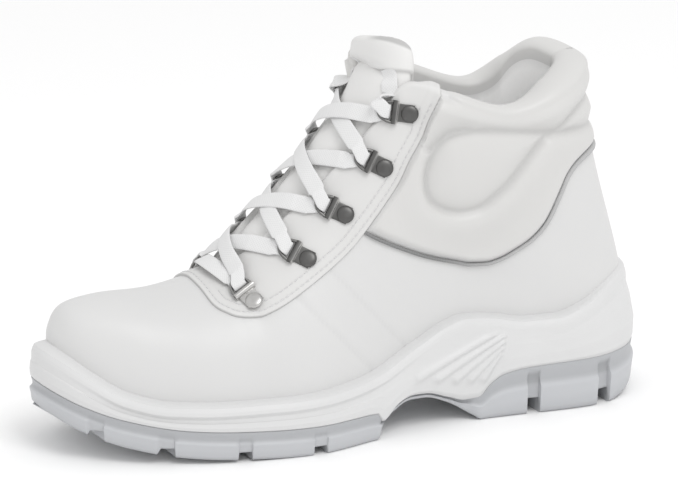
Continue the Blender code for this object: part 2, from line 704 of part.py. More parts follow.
def tube(path, normals, radius, sides, closed=False):
    """Points and faces of a round tube along a path with given side directions."""
    count = len(path)
    if closed:
        tangent = np.roll(path, -1, axis=0) - np.roll(path, 1, axis=0)
    else:
        tangent = np.gradient(path, axis=0)
    tangent /= np.linalg.norm(tangent, axis=1, keepdims=True)
    normals = normals - tangent * (normals * tangent).sum(axis=1, keepdims=True)
    normals /= np.linalg.norm(normals, axis=1, keepdims=True)
    other = np.cross(tangent, normals)
    angle = np.linspace(0.0, 2.0 * math.pi, sides, endpoint=False)[None, :, None]
    points = path[:, None] + radius * (np.cos(angle) * normals[:, None] + np.sin(angle) * other[:, None])
    faces = []
    for i in range(count if closed else count - 1):
        j = (i + 1) % count
        for a in range(sides):
            b = (a + 1) % sides
            faces.append((i * sides + a, i * sides + b, j * sides + b, j * sides + a))
    if not closed:
        faces.append(tuple(range(sides))[::-1])
        faces.append(tuple(range((count - 1) * sides, count * sides)))
    return points.reshape(-1, 3), faces


def pipe_below(side, k):
    """How far below the top edge the piping crosses each stave."""
    curve = stave_curve(side, k, np.linspace(0.0, 1.0, 241))
    depth = below_top(curve)
    over = curve[..., 2] - height(PIPE_LINE, curve[..., 0])
    found = [np.interp(0.0, over[:, i], depth[:, i]) for i in range(len(k))]
    return np.array(found)


def build_piping():
    """The grey cord under the padded collar, from the facing round the heel and back."""
    upper_k = upper_staves()
    k = np.concatenate([[7.82], upper_k[upper_k > 8.0]])
    paths, normals = [], []
    for side in SIDES:
        below = pipe_below(side, k)
        normal = upper_normal(side, k, below)
        if side == "lateral":
            normal[-1] = (-1.0, 0.0, 0.25)
        place = on_upper(side, k, below) + normal * (PIPING_RADIUS + 1.25)
        paths.append(place)
        normals.append(normal)
    path = np.concatenate([paths[0], paths[1][-2::-1]])
    normal = np.concatenate([normals[0], normals[1][-2::-1]])
    points, faces = tube(path, normal, PIPING_RADIUS, 6)
    return make("piping", points, faces, (0.30, 0.30, 0.32))


def ring_frame(side, row):
    """Local axes of a ring unit: towards the throat, across, and out of the boot."""
    rivet = on_upper(side, row.stave, row.below)
    middle = on_upper(side, row.ring_stave, row.ring_below)
    normal = upper_normal(side, 0.5 * (row.stave + row.ring_stave), 0.5 * (row.below + row.ring_below))
    ahead = middle - rivet
    ahead -= normal * (ahead @ normal)
    ahead /= np.linalg.norm(ahead)
    axes = np.array([ahead, np.cross(normal, ahead), normal])
    k, below = np.meshgrid(row.stave + np.linspace(-0.9, 0.6, 25), row.below + np.linspace(-24.0, 8.0, 25))
    below = np.maximum(below, 0.0)
    facing = on_upper(side, k, below) + upper_normal(side, k, below) * (EYESTAY_GAP + EYESTAY_THICK)
    local = (facing - rivet) @ axes.T
    under = (local[..., 0] > -4.4) & (local[..., 0] < 15.0) & (np.abs(local[..., 1]) < 5.6)
    lift = local[..., 2][under].max() + FIT_GAP
    return axes, rivet + normal * lift


def clip_shape():
    """Side profile of a clip: a flat strap and a hoop over the ring's bar."""
    turn = np.radians(np.linspace(180.0, 0.0, 4))
    hole = RING_WIRE + 0.45
    lift = RING_WIRE + 0.4
    inside = np.stack([BAR_REACH + hole * np.cos(turn), lift + hole * np.sin(turn)], axis=1)
    round_over = hole + CLIP_THICK
    outside = np.stack([BAR_REACH + round_over * np.cos(turn), lift + round_over * np.sin(turn)], axis=1)[::-1]
    start = [(-2.0, 0.0), (BAR_REACH - hole, 0.0)]
    end = [(BAR_REACH + hole, 0.0), (BAR_REACH + round_over, 0.0)]
    back = [(BAR_REACH - round_over, CLIP_THICK), (-2.0, CLIP_THICK)]
    return np.array([*start, *inside, *end, *outside[:-1], *back])


def extrude(profile, half):
    """Points and faces of a flat profile drawn out to both sides."""
    count = len(profile)
    near = np.stack([profile[:, 0], np.full(count, -half), profile[:, 1]], axis=1)
    far = np.stack([profile[:, 0], np.full(count, half), profile[:, 1]], axis=1)
    faces = [(i, (i + 1) % count, count + (i + 1) % count, count + i) for i in range(count)]
    faces.append(tuple(range(count))[::-1])
    faces.append(tuple(range(count, 2 * count)))
    return np.concatenate([near, far]), faces


def turned(radii, heights, sides):
    """Points and faces of a turned solid about its own upright axis, closed at both ends."""
    angle = np.linspace(0.0, 2.0 * math.pi, sides, endpoint=False)
    rings = [np.stack([r * np.cos(angle), r * np.sin(angle), np.full(sides, h)], axis=1)
             for r, h in zip(radii, heights)]
    faces = grid_faces(len(radii), sides, wrap=True)
    faces.append(tuple(range(sides))[::-1])
    faces.append(tuple(range((len(radii) - 1) * sides, len(radii) * sides)))
    return np.concatenate(rings), faces


def combine(item, tool, operation):
    """Applies a Boolean with a second object and removes that object."""
    step = item.modifiers.new(operation.lower(), "BOOLEAN")
    step.operation = operation
    step.solver = "EXACT"
    step.object = tool
    depsgraph = bpy.context.evaluated_depsgraph_get()
    result = bpy.data.meshes.new_from_object(item.evaluated_get(depsgraph))
    item.modifiers.remove(step)
    old = item.data
    material = old.materials[0]
    item.data = result
    result.name = item.name
    result.materials.clear()
    result.materials.append(material)
    bpy.data.meshes.remove(old)
    spare = tool.data
    bpy.data.objects.remove(tool, do_unlink=True)
    bpy.data.meshes.remove(spare)


def place_unit(local, axes, origin):
    """Local points of a ring unit in the boot's own frame."""
    return local @ axes + origin


def build_clips():
    """Ten riveted clips, five a side."""
    strap, strap_faces = extrude(clip_shape(), 0.5 * CLIP_WIDTH)
    dome, dome_faces = turned(
        (RIVET_RADIUS, RIVET_RADIUS, 0.6 * RIVET_RADIUS), (0.4, 0.6 * RIVET_HEIGHT, RIVET_HEIGHT), 8
    )
    steel = (0.34, 0.34, 0.35)
    nodes = []
    for side in SIDES:
        for row in RINGS:
            axes, origin = ring_frame(side, row)
            name = f"clip_{side}_{row.level}"
            clip = make(name, place_unit(strap, axes, origin), strap_faces, steel, 0.35, 0.9)
            rivet = make("rivet", place_unit(dome, axes, origin), dome_faces, steel)
            combine(clip, rivet, "UNION")
            nodes.append(clip)
    return nodes


def ring_level(reach):
    """Height of a ring's middle plane over the facing, tilted down towards the throat."""
    return RING_WIRE + 0.4 - math.tan(math.radians(RING_TILT)) * (reach - BAR_REACH)


def ring_path():
    """The D of a ring in its own plane: a straight bar and a round bow."""
    turn = np.radians(np.linspace(70.0, -70.0, 7))
    half = 0.5 * RING_WIDTH - RING_WIRE
    bow = np.stack([RING_DEPTH * np.cos(turn), half * np.sin(turn)], axis=1)
    bar = np.array([(0.0, -half), (0.0, half)])
    flat = np.concatenate([bar, bow])
    flat[:, 0] += BAR_REACH
    return np.stack([flat[:, 0], flat[:, 1], ring_level(flat[:, 0])], axis=1)


def build_rings():
    """Ten wire D-rings held by the clips."""
    path = ring_path()
    upright = np.tile([0.0, 0.0, 1.0], (len(path), 1))
    wire, faces = tube(path, upright, RING_WIRE, 5, closed=True)
    nodes = []
    for side in SIDES:
        for row in RINGS:
            axes, origin = ring_frame(side, row)
            nodes.append(make(f"d_ring_{side}_{row.level}", place_unit(wire, axes, origin), faces,
                              (0.45, 0.45, 0.46), 0.25, 1.0))
    return nodes


def ribbon(path, normals, wide, thick):
    """Points and faces of a flat band along a path."""
    tangent = np.gradient(path, axis=0)
    tangent /= np.linalg.norm(tangent, axis=1, keepdims=True)
    normals = normals - tangent * (normals * tangent).sum(axis=1, keepdims=True)
    normals /= np.linalg.norm(normals, axis=1, keepdims=True)
    across = np.cross(tangent, normals)
    corners = [(-0.5, -0.5), (0.5, -0.5), (0.5, 0.5), (-0.5, 0.5)]
    points = np.stack([path + wide * a * across + thick * b * normals for a, b in corners], axis=1)
    faces = grid_faces(len(path), 4, wrap=True)
    faces.append((3, 2, 1, 0))
    last = 4 * (len(path) - 1)
    faces.append((last, last + 1, last + 2, last + 3))
    return points.reshape(-1, 3), faces


def lace_anchor(side, row, lift=0.0, ahead=0.0):
    """Where the lace leaves a ring towards the throat, and the direction out of the boot there."""
    axes, origin = ring_frame(side, row)
    reach = BAR_REACH + RING_DEPTH + RING_WIRE + 2.8 + ahead
    return place_unit(np.array([reach, 0.0, ring_level(reach) + lift]), axes, origin), axes[2]


def crown(run):
    """The middle of the tongue half way between a run's ring levels, and the way out there."""
    grid, normal = tongue_surface()
    middle = grid.shape[1] // 2
    line = grid[:, middle]
    rows = (RINGS[run.low - 1], RINGS[run.high - 1])
    want = 0.25 * sum(lace_anchor(side, row)[0][2] for side in SIDES for row in rows)
    at = int(np.argmin(np.abs(line[:, 2] - want)))
    level = np.array([np.interp(want, line[:, 2], line[:, axis]) for axis in range(3)])
    return level + run.clear * normal[at, middle], normal[at, middle]


def lace_path(run, side):
    """A bowed path over the tongue from a side's lower ring to the other side's upper ring."""
    other = "medial" if side == "lateral" else "lateral"
    start, start_out = lace_anchor(side, RINGS[run.low - 1], -LACE_STAGGER)
    end, end_out = lace_anchor(other, RINGS[run.high - 1], LACE_STAGGER)
    top, top_out = crown(run)
    t = np.linspace(0.0, 1.0, 7)[:, None]
    bow = 1.0 - np.abs(2.0 * t - 1.0) ** LACE_FULLNESS
    path = start + (end - start) * t + (top - 0.5 * (start + end)) * bow
    out = start_out * (1 - t) ** 2 + 2.0 * top_out * t * (1 - t) + end_out * t * t
    return path, out


def lace_tab(side):
    """The path from a top ring up the tongue, as far as the lace shows before it is tucked away."""
    start, start_out = lace_anchor(side, RINGS[-1], -LACE_STAGGER, LACE_TAB_AHEAD)
    grid, normal = tongue_surface()
    column_at = 3 if side == "lateral" else -4
    out = normal[-5:-2, column_at]
    path = grid[-5:-2, column_at] + LACE_TAB_CLEAR * out
    return np.concatenate([start[None], path]), np.concatenate([start_out[None], out])


def build_lace():
    """The flat lace: a bar between the lowest rings, four crossings and two tabs, joined."""
    paths = [lace_path(RUNS[0], "lateral")]
    paths += [lace_path(run, side) for run in RUNS[1:] for side in SIDES]
    paths += [lace_tab(side) for side in SIDES]
    lace = None
    for path, out in paths:
        points, faces = ribbon(path, out, LACE_WIDTH, LACE_THICK)
        band = make("lace" if lace is None else "band", points, faces, (0.82, 0.82, 0.82), 0.8)
        if lace is None:
            lace = band
        else:
            combine(lace, band, "UNION")
    return lace


def box(low, high):
    """Points and faces of a box between two corners."""
    x, y, z = np.array([low, high], float).T
    points = np.array([(x[i], y[j], z[k]) for k in (0, 1) for j in (0, 1) for i in (0, 1)])
    faces = [(0, 2, 3, 1), (4, 5, 7, 6), (0, 1, 5, 4), (2, 6, 7, 3), (0, 4, 6, 2), (1, 3, 7, 5)]
    return points, faces


def joined(pieces):
    """Several separate solids as one set of points and faces."""
    points, faces, start = [], [], 0
    for place, loops in pieces:
        points.append(place)
        faces += [tuple(start + i for i in loop) for loop in loops]
        start += len(place)
    return np.concatenate(points), faces


def cut_tread(outsole):
    """Cuts the gaps between the cleats, and shallow steps above them in the side."""
    deep, shallow = [], []
    for gap in GAPS:
        foot = float(height(TREAD, gap.s))
        top = float(height(SPLIT, gap.s)) - 4.2
        for side, sign in SIDES.items():
            edge_y = abs(float(half_breadth(side, gap.s)))
            near, far = gap.s - 0.5 * gap.wide, gap.s + 0.5 * gap.wide
            y = sorted((sign * gap.inner, sign * (edge_y + 12.0)))
            deep.append(box((near, y[0], foot - 6.0), (far, y[1], foot + gap.deep)))
            y = sorted((sign * (edge_y - STEP_DEEP - 0.9), sign * (edge_y + 12.0)))
            shallow.append(box((near + 0.3, y[0], foot + gap.deep - 1.0), (far - 0.3, y[1], top)))
    grooves = [
        box((168.0, -12.0, -2.0), (236.0, -8.5, 4.0)), box((168.0, 8.5, -2.0), (236.0, 12.0, 4.0)),
        box((20.0, -11.0, -2.0), (88.0, -7.5, 5.0)), box((20.0, 7.5, -2.0), (88.0, 11.0, 5.0)),
    ]
    for name, pieces in (("gaps", deep), ("steps", shallow), ("grooves", grooves)):
        points, faces = joined(pieces)
        combine(outsole, make(name, points, faces, (0.5, 0.5, 0.5)), "DIFFERENCE")


def add_ribs(midsole):
    """Fuses the slanting ribs to both sides of the waist."""
    for side, sign in SIDES.items():
        for rib in RIBS:
            t = np.linspace(0.0, 1.0, 3)
            s = rib.low_s + (rib.high_s - rib.low_s) * t
            z = rib.low_z + (rib.high_z - rib.low_z) * t
            x, y = edge(side, s, -1.6)
            path = np.stack([x, y, z], axis=1)
            out = np.tile([0.0, sign, 0.0], (len(t), 1))
            points, faces = ribbon(path, out, RIB_WIDE, 2.0 * RIB_PROUD + 1.2)
            combine(midsole, make("rib", points, faces, (0.76, 0.76, 0.77)), "UNION")


def main():
    """Builds every node and moves the whole boot so that it stands on the origin."""
    for item in list(bpy.data.objects):
        bpy.data.objects.remove(item, do_unlink=True)
    outsole = build_outsole()
    cut_tread(outsole)
    midsole = build_midsole()
    add_ribs(midsole)
    nodes = [outsole, midsole, build_insole(), build_upper(), build_eyestay(), build_tongue(), build_piping()]
    nodes += build_clips() + build_rings() + [build_lace()]
    corners = np.array([v.co for v in outsole.data.vertices])
    middle = 0.5 * (corners.min(axis=0) + corners.max(axis=0))
    for node in nodes:
        node.data.transform(Matrix.Translation((-middle[0], -middle[1], 0.0)))


main()
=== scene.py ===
"""Looks of a white lace-up safety boot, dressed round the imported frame.

Tables are in millimetres, as a maker would write them: s runs from the heel back to the toe tip,
y towards the wearer's left (the outer side), z up. Meshes are written in metres in the frame.
"""

import logging
import math
from dataclasses import dataclass
from enum import Enum
from typing import Any, NamedTuple

import bmesh
import bpy
import numpy as np
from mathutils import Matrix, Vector


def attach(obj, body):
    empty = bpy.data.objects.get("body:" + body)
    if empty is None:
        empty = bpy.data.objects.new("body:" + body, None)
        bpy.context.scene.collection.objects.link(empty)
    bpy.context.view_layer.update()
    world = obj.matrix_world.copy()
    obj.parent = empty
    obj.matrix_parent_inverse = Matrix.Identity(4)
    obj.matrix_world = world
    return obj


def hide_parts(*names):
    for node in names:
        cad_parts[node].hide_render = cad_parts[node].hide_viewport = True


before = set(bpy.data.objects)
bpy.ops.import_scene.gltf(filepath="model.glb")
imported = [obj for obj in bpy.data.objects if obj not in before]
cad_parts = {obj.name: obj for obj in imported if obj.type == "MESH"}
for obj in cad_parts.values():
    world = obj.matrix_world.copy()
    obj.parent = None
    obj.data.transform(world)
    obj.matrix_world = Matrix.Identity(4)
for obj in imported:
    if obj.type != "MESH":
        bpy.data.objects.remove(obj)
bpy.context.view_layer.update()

Array = np.ndarray
LOG = logging.getLogger("boot")
MM = 0.001

# Where the tables' zero lies in the frame
SOLE_LENGTH = 300.0
FRAME_SHIFT = np.array([-0.5 * SOLE_LENGTH, -1.808, 0.0])
UP = np.array([0.0, 0.0, 1.0])


class Side(Enum):
    """The two sides of the boot, by the sign of y."""

    LATERAL = 1.0
    MEDIAL = -1.0


def smooth(value: Array) -> Array:
    """Soft step: 0 below 0, 1 above 1, a cubic between."""
    v = np.clip(value, 0.0, 1.0)
    return v * v * (3.0 - 2.0 * v)


def bell(value: Array, wide: float) -> Array:
    """A bump of height 1 at 0 that has died away at about twice its breadth."""
    return np.exp(-((value / wide) ** 2))


def unit(vectors: Array) -> Array:
    """Vectors of the last axis scaled to length 1."""
    return vectors / np.maximum(np.linalg.norm(vectors, axis=-1, keepdims=True), 1e-9)


def square_to(vectors: Array, normal: Array) -> Array:
    """Directions (n, 3) made square to normals (n, 3): what lies along the normal is taken off."""
    ahead = unit(vectors)
    return unit(ahead - normal * (ahead * normal).sum(axis=1, keepdims=True))


def nearest(points: Array, places: Array) -> Array:
    """Which of the points (n, 3) lies nearest each of the places (m, 3)."""
    return np.argmin(((places[:, None] - points[None]) ** 2).sum(axis=2), axis=1)


def cubic(knots: Array, values: Array, at: Array, keep_shape: bool = True) -> Array:
    """A cubic through knots, held level past both ends.

    Each stretch is a Hermite cubic. Slopes are the harmonic mean of the neighbouring rises where
    keep_shape is asked, so that nothing overshoots, and else their weighted mean.

    Args:
        knots: rising positions.
        values: values at the knots, along the first axis.
        at: positions to read.
        keep_shape: whether overshoot is stopped.

    Returns:
        The values at those positions.
    """
    x, y = np.asarray(knots, float), np.asarray(values, float)
    step = np.diff(x)
    rise = np.diff(y) / step
    before, after = rise[:-1], rise[1:]
    slope = np.empty_like(y)
    if keep_shape:
        same = before * after > 0
        wide, near = 2.0 * step[1:] + step[:-1], step[1:] + 2.0 * step[:-1]
        below = np.where(same, wide * after + near * before, 1.0)
        slope[1:-1] = np.where(same, (wide + near) * before * after / below, 0.0)
    else:
        slope[1:-1] = (before * step[1:] + after * step[:-1]) / (step[1:] + step[:-1])
    slope[0] = 1.5 * rise[0] - 0.5 * slope[1]
    slope[-1] = 1.5 * rise[-1] - 0.5 * slope[-2]
    at = np.clip(np.asarray(at, float), x[0], x[-1])
    i = np.clip(np.searchsorted(x, at, "right") - 1, 0, len(x) - 2)
    t = (at - x[i]) / step[i]
    level = y[i] * (1.0 + 2.0 * t) * (1.0 - t) ** 2 + y[i + 1] * t * t * (3.0 - 2.0 * t)
    bend = slope[i] * t * (1.0 - t) ** 2 - slope[i + 1] * t * t * (1.0 - t)
    return level + bend * step[i]


def bezier(start: Array, first: Array, second: Array, end: Array, t: Array) -> Array:
    """Points at the shares t of a Bezier cubic with these ends and handles."""
    return start * (1 - t) ** 3 + 3 * first * t * (1 - t) ** 2 + 3 * second * t * t * (1 - t) + end * t**3


def run_along(points: Array) -> Array:
    """Length of a line of points (n, 3 or 2) from its start to each of them."""
    return np.concatenate([[0.0], np.cumsum(np.linalg.norm(np.diff(points, axis=0), axis=1))])


def read_line(line: Array, run: Array, at: Array) -> Array:
    """Points of a line of straight stretches, at given lengths along its run."""
    return np.stack([np.interp(at, run, column) for column in line.T], axis=1)


def cosine_stations(count: int) -> Array:
    """Rising stations from heel back to toe tip, spaced by a cosine and so close together at both ends."""
    return 0.5 * SOLE_LENGTH * (1.0 - np.cos(np.linspace(0.0, math.pi, count)))


def ring(lateral: Array, medial: Array) -> Array:
    """Joins two sides' rows into closed loops from the toe tip."""
    return np.concatenate([lateral, medial[:, -2:0:-1]], axis=1)


def rounded(points: Array | tuple, count: int) -> Array:
    """A smooth line through given points: each coordinate is a cubic of the length along them.

    Args:
        points: the places, each of two or three coordinates.
        count: how many points are wanted.

    Returns:
        An array (count, coordinates), evenly spaced along the line.
    """
    place = np.asarray(points, float)
    run = run_along(place)
    return cubic_line(place, run, np.linspace(0.0, run[-1], count))


def cubic_line(line: Array, run: Array, at: Array) -> Array:
    """Points of a smooth line, each coordinate a cubic of the length along its run."""
    return np.stack([cubic(run, column, at, False) for column in line.T], axis=1)


def line_distance(place: Array, line: Array) -> Array:
    """Shortest distance of places, in the plane or in space, from a line of points.

    Each stretch of the line gives its nearest point by a clipped projection; the nearest of all counts.

    Args:
        place: an array (..., 2 or 3).
        line: an array (n, 2 or 3).

    Returns:
        Distances of the shape of place without its last axis.
    """
    a, b = line[:-1], line[1:]
    along = b - a
    best = np.full(place.shape[:-1], 1e9)
    for start, step in zip(a, along):
        t = np.clip(((place - start) @ step) / max(step @ step, 1e-9), 0.0, 1.0)
        best = np.minimum(best, np.linalg.norm(place - start - t[..., None] * step, axis=-1))
    return best


def inside(place: Array, loop: Array) -> Array:
    """Whether flat places lie within a closed line.

    They do when a level line from them to the right crosses it an odd number of times.

    Args:
        place: an array (..., 2).
        loop: the closed line's points (n, 2).

    Returns:
        True or False for each place.
    """
    x, z = place[..., 0], place[..., 1]
    odd = np.zeros(x.shape, bool)
    for (x0, z0), (x1, z1) in zip(loop, np.roll(loop, -1, axis=0)):
        spans = (z0 > z) != (z1 > z)
        cross = x0 + (z - z0) * (x1 - x0) / (z1 - z0 if z1 != z0 else 1e-9)
        odd ^= spans & (x < cross)
    return odd


@dataclass(frozen=True)
class Curve:
    """A value given at a few places and a cubic between them."""

    points: tuple[tuple[float, float], ...]

    def at(self, where: Array) -> Array:
        """The curve's values at those places."""
        return cubic(*np.array(self.points, float).T, where)


class Ramp(NamedTuple):
    """A soft step: where it sets in and how long it takes."""

    start: float
    over: float

    def at(self, value: Array) -> Array:
        """0 up to the start, 1 past the end, a cubic between."""
        return smooth((value - self.start) / self.over)


class Breadth(NamedTuple):
    """Half breadths of the sole at a station, before its ends are rounded."""

    name: str
    s: float
    lateral: float
    medial: float


class Stave(NamedTuple):
    """A curve of the upper from the sole's lip to the top edge.

    foot: station on the sole; facing: plan angle; top_s, top_y, gap, top_z: the upper end;
    medial_s, medial_z: how the inner side's end differs; rise, lean, spread, crown: the handles.
    """

    name: str
    foot: float
    facing: float
    top_s: float
    top_y: float
    gap: float
    top_z: float
    medial_s: float
    medial_z: float
    rise: float
    lean: float
    spread: float
    crown: float


@dataclass(frozen=True)
class Outline:
    """The sole's plan: half breadths rounded off at toe and heel."""

    breadths: tuple[Breadth, ...] = (
        Breadth("heel back", 0, 39, 38),
        Breadth("heel", 45, 41.5, 38.5),
        Breadth("breast", 96, 38.5, 34),
        Breadth("waist", 125, 40, 32),
        Breadth("shank", 152, 46.5, 36),
        Breadth("outer joint", 186, 54.5, 45),
        Breadth("inner joint", 222, 50.5, 51),
        Breadth("toe root", 256, 43.5, 51.5),
        Breadth("toe tip", 300, 37, 50),
    )
    toe_round_from: float = 215.0
    toe_round_power: float = 2.3
    toe_pole_y: float = -7.0
    heel_round: float = 43.0
    heel_round_power: float = 2.2

    def half_breadth(self, side: Side, s: Array) -> Array:
        """The edge's y: the table's breadth times a superellipse at toe and heel.

        Args:
            side: which side.
            s: stations of any shape.

        Returns:
            y of that shape.
        """
        column = [b.lateral if side is Side.LATERAL else b.medial for b in self.breadths]
        wide = side.value * cubic([b.s for b in self.breadths], column, s)
        toe = np.clip((s - self.toe_round_from) / (SOLE_LENGTH - self.toe_round_from), 0.0, 1.0)
        heel = np.clip((self.heel_round - s) / self.heel_round, 0.0, 1.0)
        toe_round = np.sqrt(1.0 - toe**self.toe_round_power)
        heel_round = np.sqrt(1.0 - heel**self.heel_round_power)
        return (self.toe_pole_y + (wide - self.toe_pole_y) * toe_round) * heel_round

    def edge(self, side: Side, s: Array, offset: Array) -> tuple[Array, Array, Array]:
        """Plan points moved outward along the outline's own normal.

        Args:
            side: which side.
            s: stations.
            offset: distances outward, negative inward.

        Returns:
            x, y and the outward plan normals (..., 3).
        """
        grid = cosine_stations(1601)
        y = self.half_breadth(side, grid)
        ds, dy = np.gradient(grid), np.gradient(y)
        size = np.hypot(ds, dy)
        nx, ny = -side.value * dy / size, side.value * ds / size
        nx[[0, -1]], ny[[0, -1]] = (-1.0, 1.0), 0.0
        normal = unit(np.stack([np.interp(s, grid, nx), np.interp(s, grid, ny), np.zeros_like(s)], axis=-1))
        return s + offset * normal[..., 0], np.interp(s, grid, y) + offset * normal[..., 1], normal

    def loop(self, s: Array, offset: Array, z: Array) -> Array:
        """Closed loops from the toe tip along the outer side to the heel and back along the inner side.

        Args:
            s: falling stations (n,).
            offset: outward distances (rows, n) of both sides.
            z: heights (rows, n).

        Returns:
            Points (rows, 2 n - 2, 3).
        """
        sides = []
        for side in Side:
            x, y, _ = self.edge(side, np.broadcast_to(s, offset.shape), offset)
            sides.append(np.stack([x, y, z], axis=-1))
        return ring(sides[0], sides[1])


OUTLINE = Outline()
TREAD = Curve((
    (0, 8.6), (8, 4.8), (18, 1.5), (28, 0), (95, 0), (99, 2.2), (113, 10.6), (124, 14.2), (132, 14.4),
    (140, 11.4), (149, 5), (152, 0), (190, 0), (220, 1), (245, 2.8), (270, 7.6), (286, 13.4),
    (300, 21.5),
))
SPLIT = Curve((
    (0, 25), (37, 24), (72, 22.8), (84, 20.8), (91, 16.7), (97, 11.2), (104, 11), (113, 13.6),
    (124, 17), (132, 17.4), (140, 15), (149, 8.4), (152, 12.4), (160, 13), (200, 13.4), (220, 14.2),
    (245, 15.8), (270, 20.4), (286, 25.7), (300, 33),
))
LIP = Curve((
    (0, 61.5), (12, 60.5), (27, 56.5), (41, 50.5), (57, 46), (72, 46), (88, 49), (103, 50.5),
    (113, 48), (128, 40.5), (148, 31.5), (160, 28.8), (178, 27.4), (202, 26.6), (230, 26.6), (251, 27.2),
    (270, 31.5), (284, 39.5), (293, 45.5), (300, 49.5),
))
FLOOR = Curve((
    (0, 33), (60, 32), (100, 29.5), (130, 26), (160, 22.5), (190, 20.5), (215, 20.3), (240, 22),
    (262, 25.5), (283, 32), (300, 40),
))
PIPE_LINE = Curve((
    (22, 121.5), (35, 120), (45, 117), (51, 112), (55, 105), (63, 90.5), (70, 83.8), (78, 79.2),
    (85, 75.8), (92, 74.2), (100, 74.6), (108, 76.6), (122, 80.6), (135, 85.9), (148, 92.2), (155, 96.5),
))
FACING = Curve((
    (4.51, 0), (4.53, 13), (4.55, 22.5), (4.59, 27.3), (4.65, 30.2), (4.73, 32.7), (4.81, 34.8),
    (4.91, 36.6), (5.02, 37.5), (5.17, 36.8), (5.38, 35.2), (5.66, 33.5), (5.98, 32.8), (6.3, 33.3),
    (6.9, 34.4), (7.3, 35), (7.74, 34), (8.04, 32.8), (8.41, 32), (8.84, 30), (9.21, 24),
    (9.49, 14), (9.7, 5.6), (9.82, 0),
))


def over_piping(flat: Array) -> Array:
    """How far places lie above the piping's line.

    Args:
        flat: s and z (..., 2).

    Returns:
        Distances (...), negative below the line.
    """
    s = np.linspace(0.0, 156.0, 105)
    away = line_distance(flat, np.stack([s, PIPE_LINE.at(s)], axis=1))
    return np.where(flat[..., 1] > PIPE_LINE.at(flat[..., 0]), away, -away)


